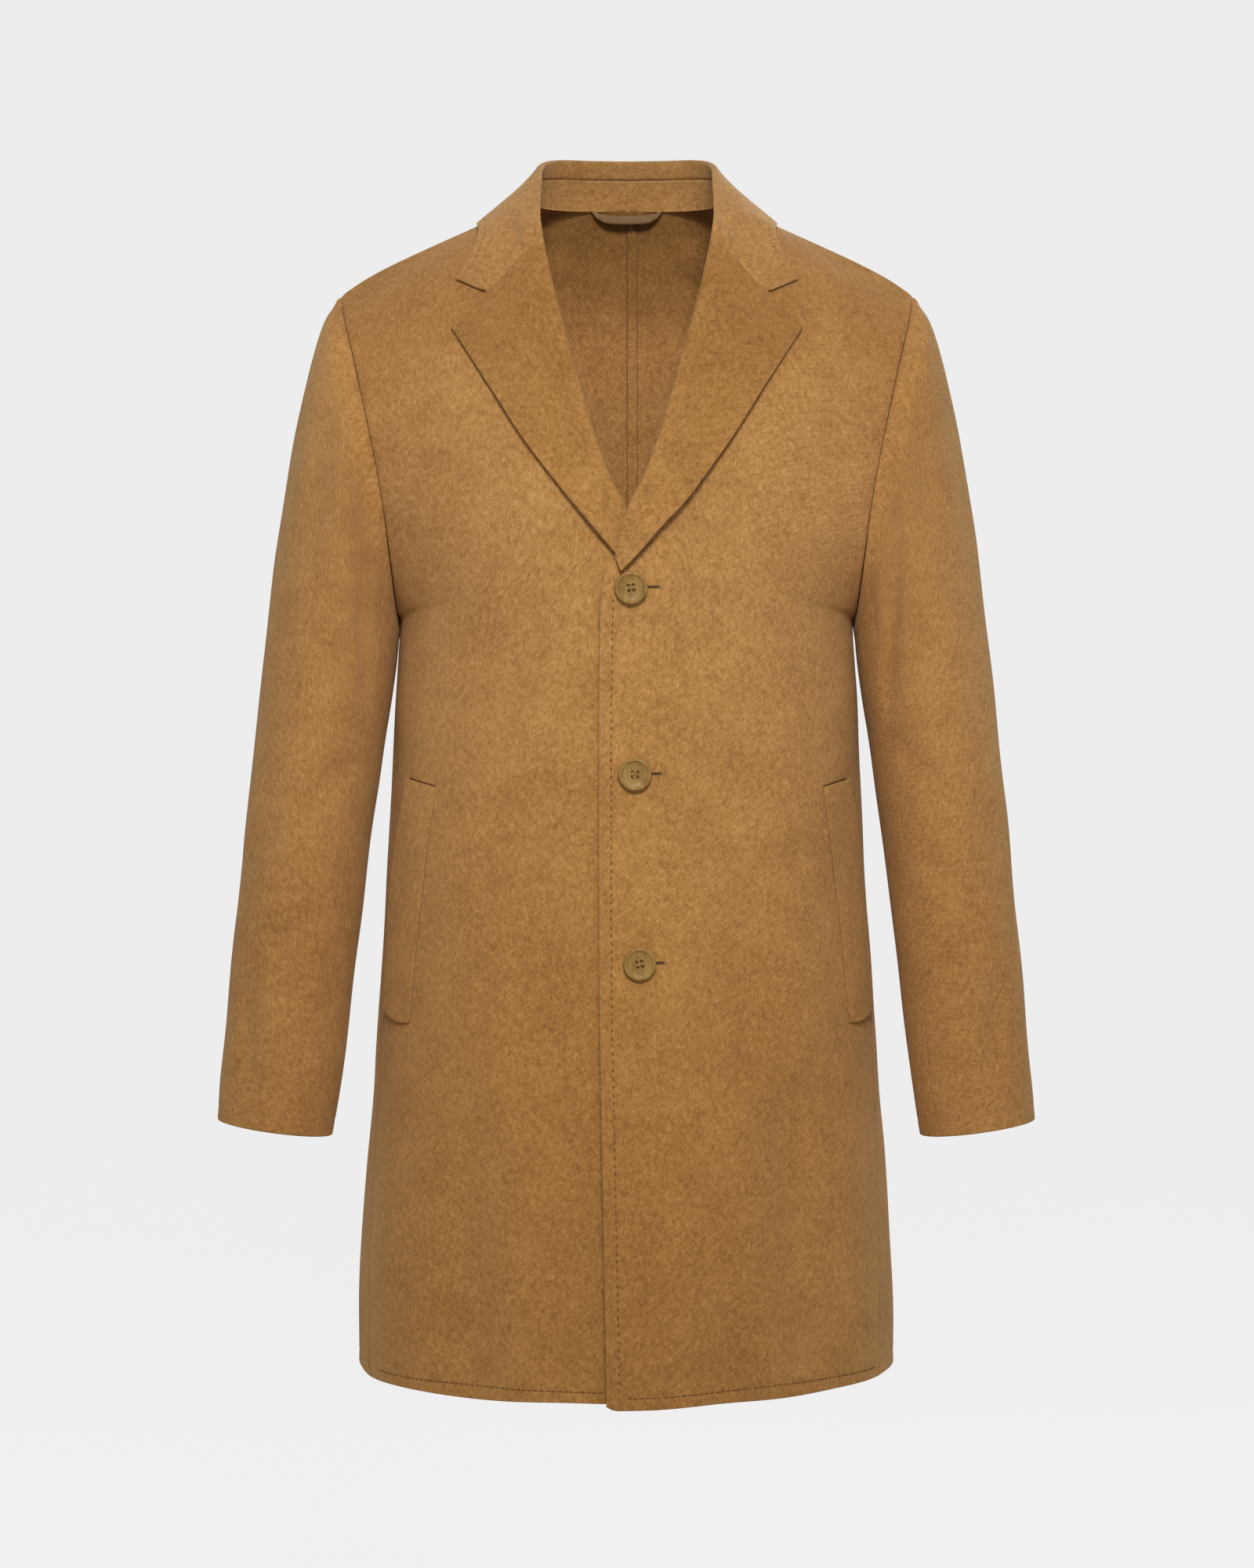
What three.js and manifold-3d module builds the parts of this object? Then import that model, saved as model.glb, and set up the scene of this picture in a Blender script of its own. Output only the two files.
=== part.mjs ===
// A knee-above wool overcoat, filled out as when worn, hollow, buttoned.
// Millimetres, +Z up. The front faces -Y and +X is the wearer's left.
// The origin lies midway between the two points where the shoulder seams meet the neck.
import * as THREE from 'three';
import { mergeVertices } from 'three/addons/utils/BufferGeometryUtils.js';
import Module from 'manifold-3d';

const wasm = await Module();
wasm.setup();

// ---------------------------------------------------------------- driving sizes
const CLOTH = 2.4;            // double-faced coating
const SEAM_GAP = 0.3;         // left between pieces that are sewn together
const LIE = 3.4;              // outer face of a lapel, collar or welt above the panel under it
const OVERLAP = 3.2;          // how far the top front is lifted over the under front
const OVERLAP_LAPEL = 4.4;    // and how much more where the under lapel lies between them
const FOLD = 3.6;             // half the width of the collar's turned edge
const BUTTON_R = 12.5, BUTTON_T = 4.4, SHANK_R = 1.7, EYE_R = 2.4, SLIT_LEN = 22, SLIT_H = 1.2;
const BUTTONS = [{ x: 3, z: -316.5 }, { x: 6, z: -457 }, { x: 9.5, z: -599.5 }];

// ---------------------------------------------------------------- small vector helpers
const add = (a, b) => [a[0] + b[0], a[1] + b[1], a[2] + b[2]];
const sub = (a, b) => [a[0] - b[0], a[1] - b[1], a[2] - b[2]];
const mul = (a, k) => [a[0] * k, a[1] * k, a[2] * k];
const dot = (a, b) => a[0] * b[0] + a[1] * b[1] + a[2] * b[2];
const cross = (a, b) => [a[1] * b[2] - a[2] * b[1], a[2] * b[0] - a[0] * b[2], a[0] * b[1] - a[1] * b[0]];
const len = (a) => Math.hypot(a[0], a[1], a[2]);
const unit = (a) => mul(a, 1 / (len(a) || 1));
const mix = (a, b, t) => a.map((v, i) => v + (b[i] - v) * t);
const lerp = (a, b, t) => a + (b - a) * t;
const clamp = (v, a, b) => Math.min(b, Math.max(a, v));
const smooth = (a, b, v) => { const t = clamp((v - a) / (b - a), 0, 1); return t * t * (3 - 2 * t); };
const rad = Math.PI / 180;
const table = (names, ...rows) => rows.map((r) => Object.fromEntries(names.split(' ').map((n, i) => [n, r[i]])));
// smooth curve through equally spaced values, points or numbers
function through(list, t) {
  const n = list.length - 1, i = clamp(Math.floor(t), 0, n - 1), f = clamp(t - i, 0, 1);
  const at = (k) => {
    if (k < 0) return ext(list[0], list[1]);
    if (k > n) return ext(list[n], list[n - 1]);
    return list[k];
  };
  const ext = (a, b) => (Array.isArray(a) ? sub(mul(a, 2), b) : 2 * a - b);
  const [p, q, r, s] = [at(i - 1), at(i), at(i + 1), at(i + 2)];
  const h = (a, b, c, d) => b + 0.5 * f * (c - a + f * (2 * a - 5 * b + 4 * c - d + f * (3 * (b - c) + d - a)));
  return Array.isArray(q) ? q.map((_, k) => h(p[k], q[k], r[k], s[k])) : h(p, q, r, s);
}
const lookup = (rows, key, val, x) => {       // straight-line table lookup, keys rising or falling
  const up = rows[1][key] > rows[0][key];
  for (let i = 0; i < rows.length - 1; i++) {
    const a = rows[i], b = rows[i + 1];
    if ((up ? x <= b[key] : x >= b[key]) || i === rows.length - 2) {
      return lerp(a[val], b[val], clamp((x - a[key]) / (b[key] - a[key]), -0.5, 1.5));
    }
  }
  return 0;
};

// ---------------------------------------------------------------- the body of the coat
// Armhole seam from the shoulder point (row 0) to the underarm (last row), front and back halves.
const ARM_FRONT = table('x y z',
  [229, 0, -73], [227, -15, -84], [223.5, -31, -98], [219, -45, -114], [214, -56, -133], [209, -65, -154],
  [203.5, -72, -178], [198, -76, -204], [193, -77, -231], [189, -73, -258], [186.2, -63, -284],
  [184, -45, -308], [182.4, -19, -327], [181, 12, -336]);
const ARM_BACK = table('x y z',
  [229, 0, -73], [227.5, 14, -84], [224.5, 28, -98], [220.5, 40, -114], [216, 50, -133], [211.5, 58, -154],
  [207, 64, -178], [203, 68, -204], [199, 70, -231], [194.5, 69, -258], [189.5, 62, -284],
  [185.5, 50, -308], [182.6, 33, -327], [181, 12, -336]);
// Rows of the front from the shoulder seam to the underarm: the inner end lies on the neck seam,
// then on the roll line; yc is the centre of the row's arc, dip shapes how it falls to the armhole.
const FRONT_IN = table('x y z yc dip',
  [78, -2, 2, 60, 1.0], [77, -20, -4, 45, 1.12], [74.5, -42, -14, 36, 1.15], [69.5, -63, -29, 30, 1.15],
  [65.5, -80, -45, 26, 1.15], [60.5, -97, -67, 22, 1.15], [53.5, -113, -94, 20, 1.15], [45.5, -126, -124, 18, 1.15],
  [36, -137, -158, 16, 1.15], [25, -144, -196, 15, 1.1], [13.5, -149, -228, 14, 1.1], [1.5, -152, -256, 13, 1.0],
  [-8, -154, -286, 12, 1.0], [-18.5, -155, -312, 12, 1.0]);
const BACK_IN = table('x y z yc dip',
  [78, -2, 2, -60, 1.0], [76, 22, 4, -40, 1.1], [69, 46, 6, -25, 1.25], [53, 68, 8, -15, 1.45],
  [28, 81, 9.5, -8, 1.65], [0, 86, 10, -2, 1.8], [0, 100, -22, 2, 1.8], [0, 110, -62, 5, 1.8],
  [0, 117, -106, 8, 1.7], [0, 121, -152, 10, 1.6], [0, 123.5, -198, 11, 1.5], [0, 125, -245, 12, 1.3],
  [0, 125.5, -290, 12, 1.1], [0, 125.5, -334, 12, 1.0]);
// Rows from the underarm to the hem: half width, centre, depths in front and behind,
// and the side seam's angle from the centre front.
const LOWER = table('z w yc front back seam edge',
  [-336, 181, 12, 155, 125.5, 90, -20], [-368, 182.6, 13, 155.5, 126, 91, -20.5], [-402, 184.8, 15, 156, 127, 91, -21],
  [-452, 186.6, 17, 157, 129, 88, -21.2], [-502, 189.2, 19, 158, 132, 85, -21.2], [-560, 192.6, 22, 159, 136, 82, -21],
  [-620, 197, 25, 160, 141, 79.5, -20.8], [-690, 200.8, 29, 160.8, 145, 76.5, -19.5], [-765, 205.8, 32, 161, 148, 73.5, -17.8],
  [-848, 210.4, 35, 160.2, 150, 70.5, -16], [-932, 212.6, 38, 158, 151, 68, -14.5]);
const ROWS_UP = ARM_FRONT.length - 1;
const ROWS = ROWS_UP + LOWER.length - 1;

// one row above the underarm: an arc of an ellipse through its inner end and the armhole
function upperRow(inner, outer, u, sign) {
  const yc = inner.yc, pi = Math.abs(inner.y - yc), po = Math.abs(outer.y - yc), k = (inner.x / outer.x) ** 2;
  const d = Math.sqrt((pi * pi - k * po * po) / (1 - k));
  const to = Math.acos(clamp(po / d, -1, 1)), w = outer.x / Math.sin(to), ti = Math.asin(clamp(inner.x / w, -1, 1));
  const th = lerp(ti, to, u), x = w * Math.sin(th), f = clamp((x - inner.x) / (outer.x - inner.x), 0, 1);
  return [x, yc + sign * d * Math.cos(th), lerp(inner.z, outer.z, f ** inner.dip)];
}
const shoulderSeam = (u) => {
  const a = ARM_FRONT[0], b = FRONT_IN[0];
  return [lerp(b.x, a.x, u), lerp(b.y, a.y, u), lerp(b.z, a.z, 0.9 * u + 0.1 * u ** 8)];
};
// a point of a lower row at an angle from the centre front (0) past the side (90) to the centre back (180)
function lowerPoint(r, deg) {
  const a = deg * rad, dep = deg < 90 ? r.front + r.yc : r.back - r.yc;
  return [r.w * Math.sin(a), r.yc - dep * Math.cos(a), r.z];
}
const lowerFront = (r, u) => lowerPoint(r, lerp(Math.asin(r.edge / r.w) / rad, r.seam, u));
const lowerBack = (r, u) => lowerPoint(r, lerp(180, r.seam, u));
const frontRows = [], backRows = [];
for (let i = 0; i <= ROWS_UP; i++) {
  frontRows.push(i ? (u) => upperRow(FRONT_IN[i], ARM_FRONT[i], u, -1) : shoulderSeam);
  backRows.push(i ? (u) => upperRow(BACK_IN[i], ARM_BACK[i], u, 1) : shoulderSeam);
}
for (let i = 1; i < LOWER.length; i++) {
  frontRows.push((u) => lowerFront(LOWER[i], u));
  backRows.push((u) => lowerBack(LOWER[i], u));
}
const loft = (rows, u, v) => through(rows.map((c) => c(u)), v);
// the top front is lifted over the under front near the centre, more where the under lapel lies between
const liftAt = (x, z) => (1 - smooth(24, 80, x)) * (OVERLAP + OVERLAP_LAPEL * smooth(-352, -318, z) * (1 - smooth(30, 70, x)))
  * smooth(-130, -215, z);
const frontPoint = (u, v, over) => {
  const p = loft(frontRows, u, v);
  return over ? add(p, [0, -liftAt(p[0], p[2]), 0]) : p;
};
const backPoint = (u, v) => loft(backRows, u, v);

// where a point given by its x and z lies on a front or back panel
function onPanel(point, x, z) {
  let u = 0.5, v = 8;
  const solve = (f, lo, hi, target) => {
    const s = Math.sign(f(hi) - f(lo)) || 1;
    for (let k = 0; k < 22; k++) { const m = (lo + hi) / 2; if (s * (f(m) - target) < 0) lo = m; else hi = m; }
    return (lo + hi) / 2;
  };
  for (let k = 0; k < 14; k++) {
    v = solve((t) => point(u, t)[2], 0, ROWS, z);
    u = solve((t) => point(t, v)[0], -0.15, 1, x);
  }
  const e = 0.01, p = point(u, v), du = sub(point(u + e, v), point(u - e, v)), dv = sub(point(u, v + e), point(u, v - e));
  let n = unit(cross(du, dv));
  if (dot(n, sub(p, [0, 15, clamp(p[2], -900, -150)])) < 0) n = mul(n, -1);
  return { p, n };
}

// ---------------------------------------------------------------- walls
// outward normals of a grid of points, facing away from what `from` gives
function gridNormals(P, from) {
  const R = P.length, C = P[0].length;
  return P.map((row, i) => row.map((p, j) => {
    const a = sub(P[Math.min(R - 1, i + 1)][j], P[Math.max(0, i - 1)][j]);
    const b = sub(P[i][Math.min(C - 1, j + 1)], P[i][Math.max(0, j - 1)]);
    const n = unit(cross(a, b));
    return dot(n, sub(p, from(p, i, j))) < 0 ? mul(n, -1) : n;
  }));
}
// keeps a wall's thickness from leaning over a seam; b points across the seam, side says which piece this is
function trimAcross(e, b, side) {
  const k = dot(e, b) * side;
  return k >= 0 ? e : unit(sub(e, mul(b, k * side)));
}
// a closed wall: outer points P, inner points P + E * thickness
function wall(P, E, t) {
  const R = P.length, C = P[0].length, pos = [], idx = [];
  for (let s = 0; s < 2; s++) for (let i = 0; i < R; i++) for (let j = 0; j < C; j++) pos.push(...(s ? add(P[i][j], mul(E[i][j], t)) : P[i][j]));
  const id = (s, i, j) => s * R * C + i * C + j;
  const quad = (a, b, c, d) => idx.push(a, b, c, a, c, d);
  for (let i = 0; i < R - 1; i++) for (let j = 0; j < C - 1; j++) {
    const shortA = len(sub(P[i][j], P[i + 1][j + 1])) <= len(sub(P[i][j + 1], P[i + 1][j]));
    for (const s of [0, 1]) {
      const q = [id(s, i, j), id(s, i, j + 1), id(s, i + 1, j + 1), id(s, i + 1, j)];
      const o = shortA ? q : [q[1], q[2], q[3], q[0]];
      if (s) quad(o[3], o[2], o[1], o[0]); else quad(...o);
    }
  }
  // the diagonal of the inner skin must match the outer one
  const side = (a, b) => quad(a[1], a[0], b[0], b[1]);
  for (let j = 0; j < C - 1; j++) {
    side([id(0, 0, j), id(0, 0, j + 1)], [id(1, 0, j), id(1, 0, j + 1)]);
    side([id(0, R - 1, j + 1), id(0, R - 1, j)], [id(1, R - 1, j + 1), id(1, R - 1, j)]);
  }
  for (let i = 0; i < R - 1; i++) {
    side([id(0, i + 1, 0), id(0, i, 0)], [id(1, i + 1, 0), id(1, i, 0)]);
    side([id(0, i, C - 1), id(0, i + 1, C - 1)], [id(1, i, C - 1), id(1, i + 1, C - 1)]);
  }
  return closed(pos, idx);
}
function closed(pos, idx) {
  let vol = 0;
  const at = (k) => [pos[3 * k], pos[3 * k + 1], pos[3 * k + 2]];
  for (let k = 0; k < idx.length; k += 3) vol += dot(at(idx[k]), cross(at(idx[k + 1]), at(idx[k + 2])));
  const out = vol < 0 ? idx.map((_, k) => idx[k - (k % 3) + [0, 2, 1][k % 3]]) : idx;
  const g = new THREE.BufferGeometry();
  g.setAttribute('position', new THREE.Float32BufferAttribute(pos, 3));
  g.setIndex(out);
  return g;
}
const mirrored = (g) => {
  const p = Array.from(g.attributes.position.array).map((v, k) => (k % 3 ? v : -v));
  return closed(p, Array.from(g.index.array));
};

// ---------------------------------------------------------------- fronts and backs
const COLS = 9;
const ACROSS_ARM = unit([1, 0, -0.12]);
const bodyAxis = (p) => [0, 15, clamp(p[2], -900, -150)];
const rowList = Array.from({ length: ROWS + 1 }, (_, i) => i);
// columns a little closer together towards the side, where the cloth turns
const colAt = (j) => { const t = j / COLS; return t + 0.06 * Math.sin(Math.PI * t); };

function panel(point, facing) {               // facing: -1 for a front, +1 for a back
  const P = rowList.map((i) => Array.from({ length: COLS + 1 }, (_, j) => point(colAt(j), i)));
  const N = gridNormals(P, bodyAxis), E = N.map((r) => r.map((n) => mul(n, -1)));
  const last = COLS;
  for (let i = 0; i <= ROWS; i++) {
    for (let j = 0; j <= last; j++) {
      if (i === 0) {                          // shoulder seam, across it is +Y from front to back
        P[i][j] = add(P[i][j], [0, facing * SEAM_GAP / 2, 0]);
        E[i][j] = trimAcross(E[i][j], [0, 1, 0], facing);
      }
      if (j === last && i <= ROWS_UP) E[i][j] = trimAcross(E[i][j], ACROSS_ARM, -1);
      if (j === last && i >= ROWS_UP) {       // side seam
        const q = i === ROWS_UP ? [0, 1, 0] : unit(sub(lowerPoint(LOWER[i - ROWS_UP], LOWER[i - ROWS_UP].seam + 2),
          lowerPoint(LOWER[i - ROWS_UP], LOWER[i - ROWS_UP].seam - 2)));
        P[i][j] = add(P[i][j], mul(q, facing * SEAM_GAP / 2));
        E[i][j] = trimAcross(E[i][j], q, facing);
      }
      if (facing > 0 && j === 0 && i >= 5) { // centre-back seam
        P[i][j] = [SEAM_GAP / 2, P[i][j][1], P[i][j][2]];
        E[i][j] = unit([0, E[i][j][1], E[i][j][2]]);
      }
    }
  }
  return wall(P, E, CLOTH);
}

// ---------------------------------------------------------------- sleeves
// Rings of the sleeve after the armhole: its outer and inner points seen from the front, and its depths.
const SLEEVE = table('ox oz ix iz ym front back',
  [240, -91, 182.6, -342, -3, 79, 74], [250.5, -120, 184, -349, -3, 82, 78], [260.5, -162, 185, -359, -2, 82, 80],
  [270, -212, 186.4, -376, -2, 81, 79], [279, -270, 189.4, -402, -3, 78, 76], [287, -335, 195.6, -440, -5, 74, 71],
  [294.4, -400, 202.6, -490, -8, 69, 65], [301.4, -462, 210, -544, -12, 64, 59], [308.2, -526, 217, -599, -17, 59, 54],
  [315, -592, 223.6, -653, -22, 54, 50], [321.6, -662, 230.4, -705, -27, 50, 47], [327, -729, 236.4, -742, -31, 47, 45]);
const STEP = 180 / ROWS_UP;
const FRONT_SEAM = 10, BACK_SEAM = 2 * ROWS_UP - 9;   // columns where the sleeve seams run
function sleeveRing(r, deg) {
  const c = Math.cos(deg * rad), s = Math.sin(deg * rad);
  return [lerp(r.ix, r.ox, (1 + c) / 2), r.ym - (s > 0 ? r.front : r.back) * s, lerp(r.iz, r.oz, (1 + c) / 2)];
}
const armholeAt = (j) => {                    // columns run from the shoulder down the front, up the back
  const n = 2 * ROWS_UP, k = ((j % n) + n) % n, a = k <= ROWS_UP ? ARM_FRONT[k] : ARM_BACK[n - k];
  return [a.x, a.y, a.z];
};
function sleeves() {
  const n = 2 * ROWS_UP, P = [];
  P.push(Array.from({ length: n }, (_, j) => armholeAt(j)));
  for (const r of SLEEVE) P.push(Array.from({ length: n }, (_, j) => sleeveRing(r, j * STEP)));
  const centre = P.map((ring) => mul(ring.reduce(add, [0, 0, 0]), 1 / n));
  const E = P.map((ring, i) => ring.map((p, j) => {
    const a = sub(P[Math.min(P.length - 1, i + 1)][j], P[Math.max(0, i - 1)][j]);
    const b = sub(ring[(j + 1) % n], ring[(j + n - 1) % n]);
    const e = unit(cross(a, b));
    return dot(e, sub(centre[i], p)) < 0 ? mul(e, -1) : e;
  }));
  for (let j = 0; j < n; j++) {
    P[0][j] = add(P[0][j], mul(ACROSS_ARM, SEAM_GAP));
    E[0][j] = trimAcross(E[0][j], ACROSS_ARM, 1);
  }
  const strip = (from, to) => {
    const cols = Array.from({ length: to - from + 1 }, (_, k) => ((from + k) % n + n) % n);
    const p = P.map((ring) => cols.map((j, k) => {
      const end = k === 0 ? 1 : k === cols.length - 1 ? -1 : 0;
      return end ? add(ring[j], mul(unit(sub(ring[(j + end + n) % n], ring[j])), SEAM_GAP / 2)) : ring[j];
    }));
    return wall(p, E.map((ring) => cols.map((j) => ring[j])), CLOTH);
  };
  return { top: strip(BACK_SEAM - n, FRONT_SEAM), under: strip(FRONT_SEAM, BACK_SEAM) };
}

// ---------------------------------------------------------------- lapels and gorge
// seen from the front; gorge runs from the roll line to the notch
const GORGE = table('x z', [64, -45.7], [72, -48.2], [77, -50.3], [87, -61], [97, -72.4], [107, -82.3]);
const LAPEL_TIP = { x: 135, z: -111 };
const ROLL = table('x z', [64, -45.7], [53.2, -94], [39, -146], [24.5, -198], [12, -232], [-0.6, -258], [-7, -280], [-9.5, -294]);
const LAPEL_EDGE = table('x z', [135, -111], [122, -132], [101, -165], [77.5, -202], [49, -240], [18, -279], [5, -294], [-5, -304]);
const LAPEL_COLS = 8;                         // the gorge's corners fall on these columns
function lapel(over) {
  const topLine = (s) => {                    // gorge, then the notch edge to the tip
    const g = GORGE.map((r) => [r.x, r.z]);
    const k = s * (g.length + 1);
    if (k <= g.length - 1) return through(g.map((q) => [q[0], 0, q[1]]), k);
    const a = g[g.length - 1], t = (k - g.length + 1) / 2;
    return [lerp(a[0], LAPEL_TIP.x, t), 0, lerp(a[1], LAPEL_TIP.z, t) - 1.2 * Math.sin(Math.PI * t)];
  };
  const n = ROLL.length - 1, P = [], E = [];
  const xz = (r) => [r.x, 0, r.z];
  const point = (u, v) => frontPoint(u, v, over);
  const steps = Array.from({ length: 2 * n + 1 }, (_, i) => i / 2);
  for (const i of steps) {
    const t = i / n, roll = through(ROLL.map(xz), i), edge = through(LAPEL_EDGE.map(xz), i), P1 = [], E1 = [];
    for (let j = 0; j < LAPEL_COLS; j++) {
      const s = j / (LAPEL_COLS - 1);
      const straightTop = mix(xz(ROLL[0]), xz(LAPEL_EDGE[0]), s);
      const q = add(mix(roll, edge, s), mul(sub(topLine(s), straightTop), (1 - t) ** 3));
      const gap = i === 0 ? SEAM_GAP : 0;
      const f = onPanel(point, q[0], q[2] - gap);
      P1.push([q[0], f.p[1] - LIE * (1.12 - 0.12 * s), q[2] - gap]);
      E1.push(mul(f.n, -1));
    }
    P.push(P1); E.push(E1);
  }
  return wall(P, E, CLOTH - 0.2);
}

// ---------------------------------------------------------------- collar
// Sections from the centre back (row 0) to the front end (last row): base on the neck seam,
// roll on the turned inner edge, leaf on the free edge; stand is how much of the height the stand takes.
const COLLAR = table('bx by bz rx ry rz lx ly lz stand',
  [0, 86, 10, 0, 78, 50.5, 0, 105, -4, 0.66], [28, 81, 9.5, 30, 75.5, 50.5, 33, 103, -5, 0.66],
  [53, 68, 8, 52, 67, 49.5, 66, 92, -9, 0.66], [69, 46, 6, 64, 50, 44.5, 94, 68, -6, 0.66],
  [76, 22, 4, 67.2, 27, 36, 111, 38, -8, 0.66], [78, -2, 2, 67, 3, 25, 118, 6, -9, 0.64],
  [77, -20, -4, 66.6, -18, 12, 117, -21, -14, 0.62], [74.5, -42, -14, 66.4, -42, -5, 116.5, -42, -26, 0.58],
  [69.5, -63, -29, 66, -63, -21.5, 121, -58, -46, 0.55], [65.5, -80, -45, 63.6, -84, -37.5, 132, -74, -72.5, 0.5]);
const COLLAR_TIP = { x: 132, z: -72.5 };
const samples = [];
for (let v = 0; v <= ROWS; v += 0.25) {
  for (let u = 0; u <= 1; u += 1 / 24) {
    for (const f of [(a, b) => frontPoint(a, b, true), backPoint]) {
      const p = f(u, v);
      if (p[2] < -190) continue;
      const e = 0.01, du = sub(f(Math.min(1, u + e), v), f(Math.max(0, u - e), v)), dv = sub(f(u, Math.min(ROWS, v + e)), f(u, Math.max(0, v - e)));
      let n = unit(cross(du, dv));
      if (dot(n, sub(p, bodyAxis(p))) < 0) n = mul(n, -1);
      samples.push({ p, n });
    }
  }
}
function clearOfBody(p, h) {                  // moves a point out until it is h above the panels
  for (let k = 0; k < 3; k++) {
    let best = samples[0], d2 = Infinity;
    for (const s of samples) {
      const q = (s.p[0] - p[0]) ** 2 + (s.p[1] - p[1]) ** 2 + (s.p[2] - p[2]) ** 2;
      if (q < d2) { d2 = q; best = s; }
    }
    const d = dot(sub(p, best.p), best.n);
    if (d < h) p = add(p, mul(best.n, h - d)); else break;
  }
  return p;
}
function collar() {
  const last = COLLAR.length - 1, half = [];
  for (let i = 0; i <= last; i += i < 3 ? 1 : 0.5) {
    const c = Object.fromEntries(Object.keys(COLLAR[0]).map((k) => [k, through(COLLAR.map((r) => r[k]), i)]));
    const B = [c.bx, c.by, c.bz], R = [c.rx, c.ry, c.rz], L = [c.lx, c.ly, c.lz];
    const out = i === 0 ? [0, 1, 0] : unit([L[0] - R[0], L[1] - R[1], 0]);
    const up = unit(sub(R, B));
    const foot = add(B, mul(unit(add(mul(out, -1), [0, 0, 1])), SEAM_GAP));
    const A = add(R, mul(up, -FOLD)), S = mix(foot, A, c.stand);
    const top = add(R, mul(out, FOLD));
    const D = add(add(R, mul(out, 2 * FOLD)), mul(up, -FOLD));
    const leg = (t) => {
      let p = add(mix(D, L, t), mul(add(mul(out, 0.6), [0, 0, 0.8]), 3.2 * Math.sin(Math.PI * t) * smooth(last, last - 2, i)));
      if (i > last - 2) {                     // the front end follows the gorge to the notch, then goes to the tip
        const k = smooth(last - 2, last, i);
        const g = GORGE.map((r) => [r.x, r.z + 0.2]);
        const s = t * 6;
        const q = s <= 5 ? through(g.map((w) => [w[0], 0, w[1]]), s) : [lerp(g[5][0], COLLAR_TIP.x, s - 5), 0, lerp(g[5][1], COLLAR_TIP.z, s - 5)];
        if (i === last) {
          const f = onPanel((u, v) => frontPoint(u, v, true), q[0], q[2]);
          return [q[0], f.p[1] - LIE - 0.5, q[2]];
        }
        const f = onPanel((u, v) => frontPoint(u, v, true), q[0], q[2]);
        p = mix(p, [q[0], f.p[1] - LIE - 0.5, q[2]], 0.45 * k);
      }
      return clearOfBody(p, LIE + (t < 0.2 ? 2.8 : 1));
    };
    const rowPts = [add(S, mul(up, SEAM_GAP / 2)), A, add(add(R, mul(out, 0.3 * FOLD)), mul(up, -0.35 * FOLD)), top,
      add(add(R, mul(out, 1.7 * FOLD)), mul(up, -0.35 * FOLD)), D];
    for (const t of [1 / 6, 2 / 6, 3 / 6, 4 / 6, 5 / 6, 1]) rowPts.push(leg(t));
    if (i === last) rowPts[5] = mix(D, rowPts[6], 0.3);
    half.push({ fall: rowPts, stand: [foot, mix(foot, S, 0.5), add(S, mul(up, -SEAM_GAP / 2))], out, up });
  }
  const mir = (p) => [-p[0], p[1], p[2]];
  const all = [...half.slice(1).reverse().map((h) => ({ fall: h.fall.map(mir), stand: h.stand.map(mir), out: mir(h.out), up: mir(h.up) })), ...half];
  const faces = (P, want) => {                // one sense of normal for the whole grid, chosen at its middle
    const R = P.length, C = P[0].length, N = P.map((row, i) => row.map((p, j) => unit(cross(
      sub(P[Math.min(R - 1, i + 1)][j], P[Math.max(0, i - 1)][j]), sub(row[Math.min(C - 1, j + 1)], row[Math.max(0, j - 1)])))));
    const s = dot(N[R >> 1][C - 2], want) < 0 ? -1 : 1;
    return N.map((row) => row.map((n) => mul(n, -s)));
  };
  const F = all.map((h) => h.fall), EF = faces(F, [0, 1, 0]);
  const S = all.map((h) => h.stand), ES = faces(S, [0, -1, 0]);
  all.forEach((h, i) => { ES[i][0] = unit(add(h.out, [0, 0, 1])); });
  return { fall: wall(F, EF, CLOTH - 0.3), stand: wall(S, ES, CLOTH - 0.9) };
}

// ---------------------------------------------------------------- welts, loop, buttons
const WELT = table('f z fz xf xo oz',         // from the top: front edge x at z, outer edge x at oz
  [0, -466.5, 0, 149.5, 171, -460], [0.34, -525, 0, 157.8, 181.5, -520], [0.67, -585, 0, 165, 187.8, -580], [1, -650, 0, 171.2, 191, -642]);
function welt(over, shift) {
  const P = [], E = [], point = (u, v) => frontPoint(u, v, over);
  for (let i = 0; i <= 6; i++) {
    const k = i / 2, g = (name) => through(WELT.map((r) => r[name]), k), P1 = [], E1 = [];
    for (let j = 0; j <= 4; j++) {
      const s = j / 4;
      const x = lerp(g('xf') + shift, g('xo') + shift * 0.4, s), z = lerp(g('z'), g('oz'), s) - (i === 6 ? 4 * Math.sin(Math.PI * s) : 0);
      const f = onPanel(point, x, z);
      P1.push(add(f.p, mul(f.n, LIE))); E1.push(mul(f.n, -1));
    }
    P.push(P1); E.push(E1);
  }
  return wall(P, E, CLOTH - 0.2);
}
// the loop's ends lie on the neck seam and its bar stands off the curved back
const LOOP = table('x z back', [-30, 5.5, 78.2], [-26, 4.6, 78.0], [-21, 2.4, 77.4], [-12, 1.2, 77.1], [0, 0.9, 77.1],
  [12, 1.2, 77.1], [21, 2.4, 77.4], [26, 4.6, 78.0], [30, 5.5, 78.2]);
const LOOP_H = 7, LOOP_T = 1.6;
function hangerLoop() {
  const P = LOOP.map((r) => [[r.x, r.back - LOOP_T, r.z + LOOP_H / 2], [r.x, r.back - LOOP_T, r.z - LOOP_H / 2]]);
  return wall(P, P.map((row) => row.map(() => [0, 1, 0])), LOOP_T);
}

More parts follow.
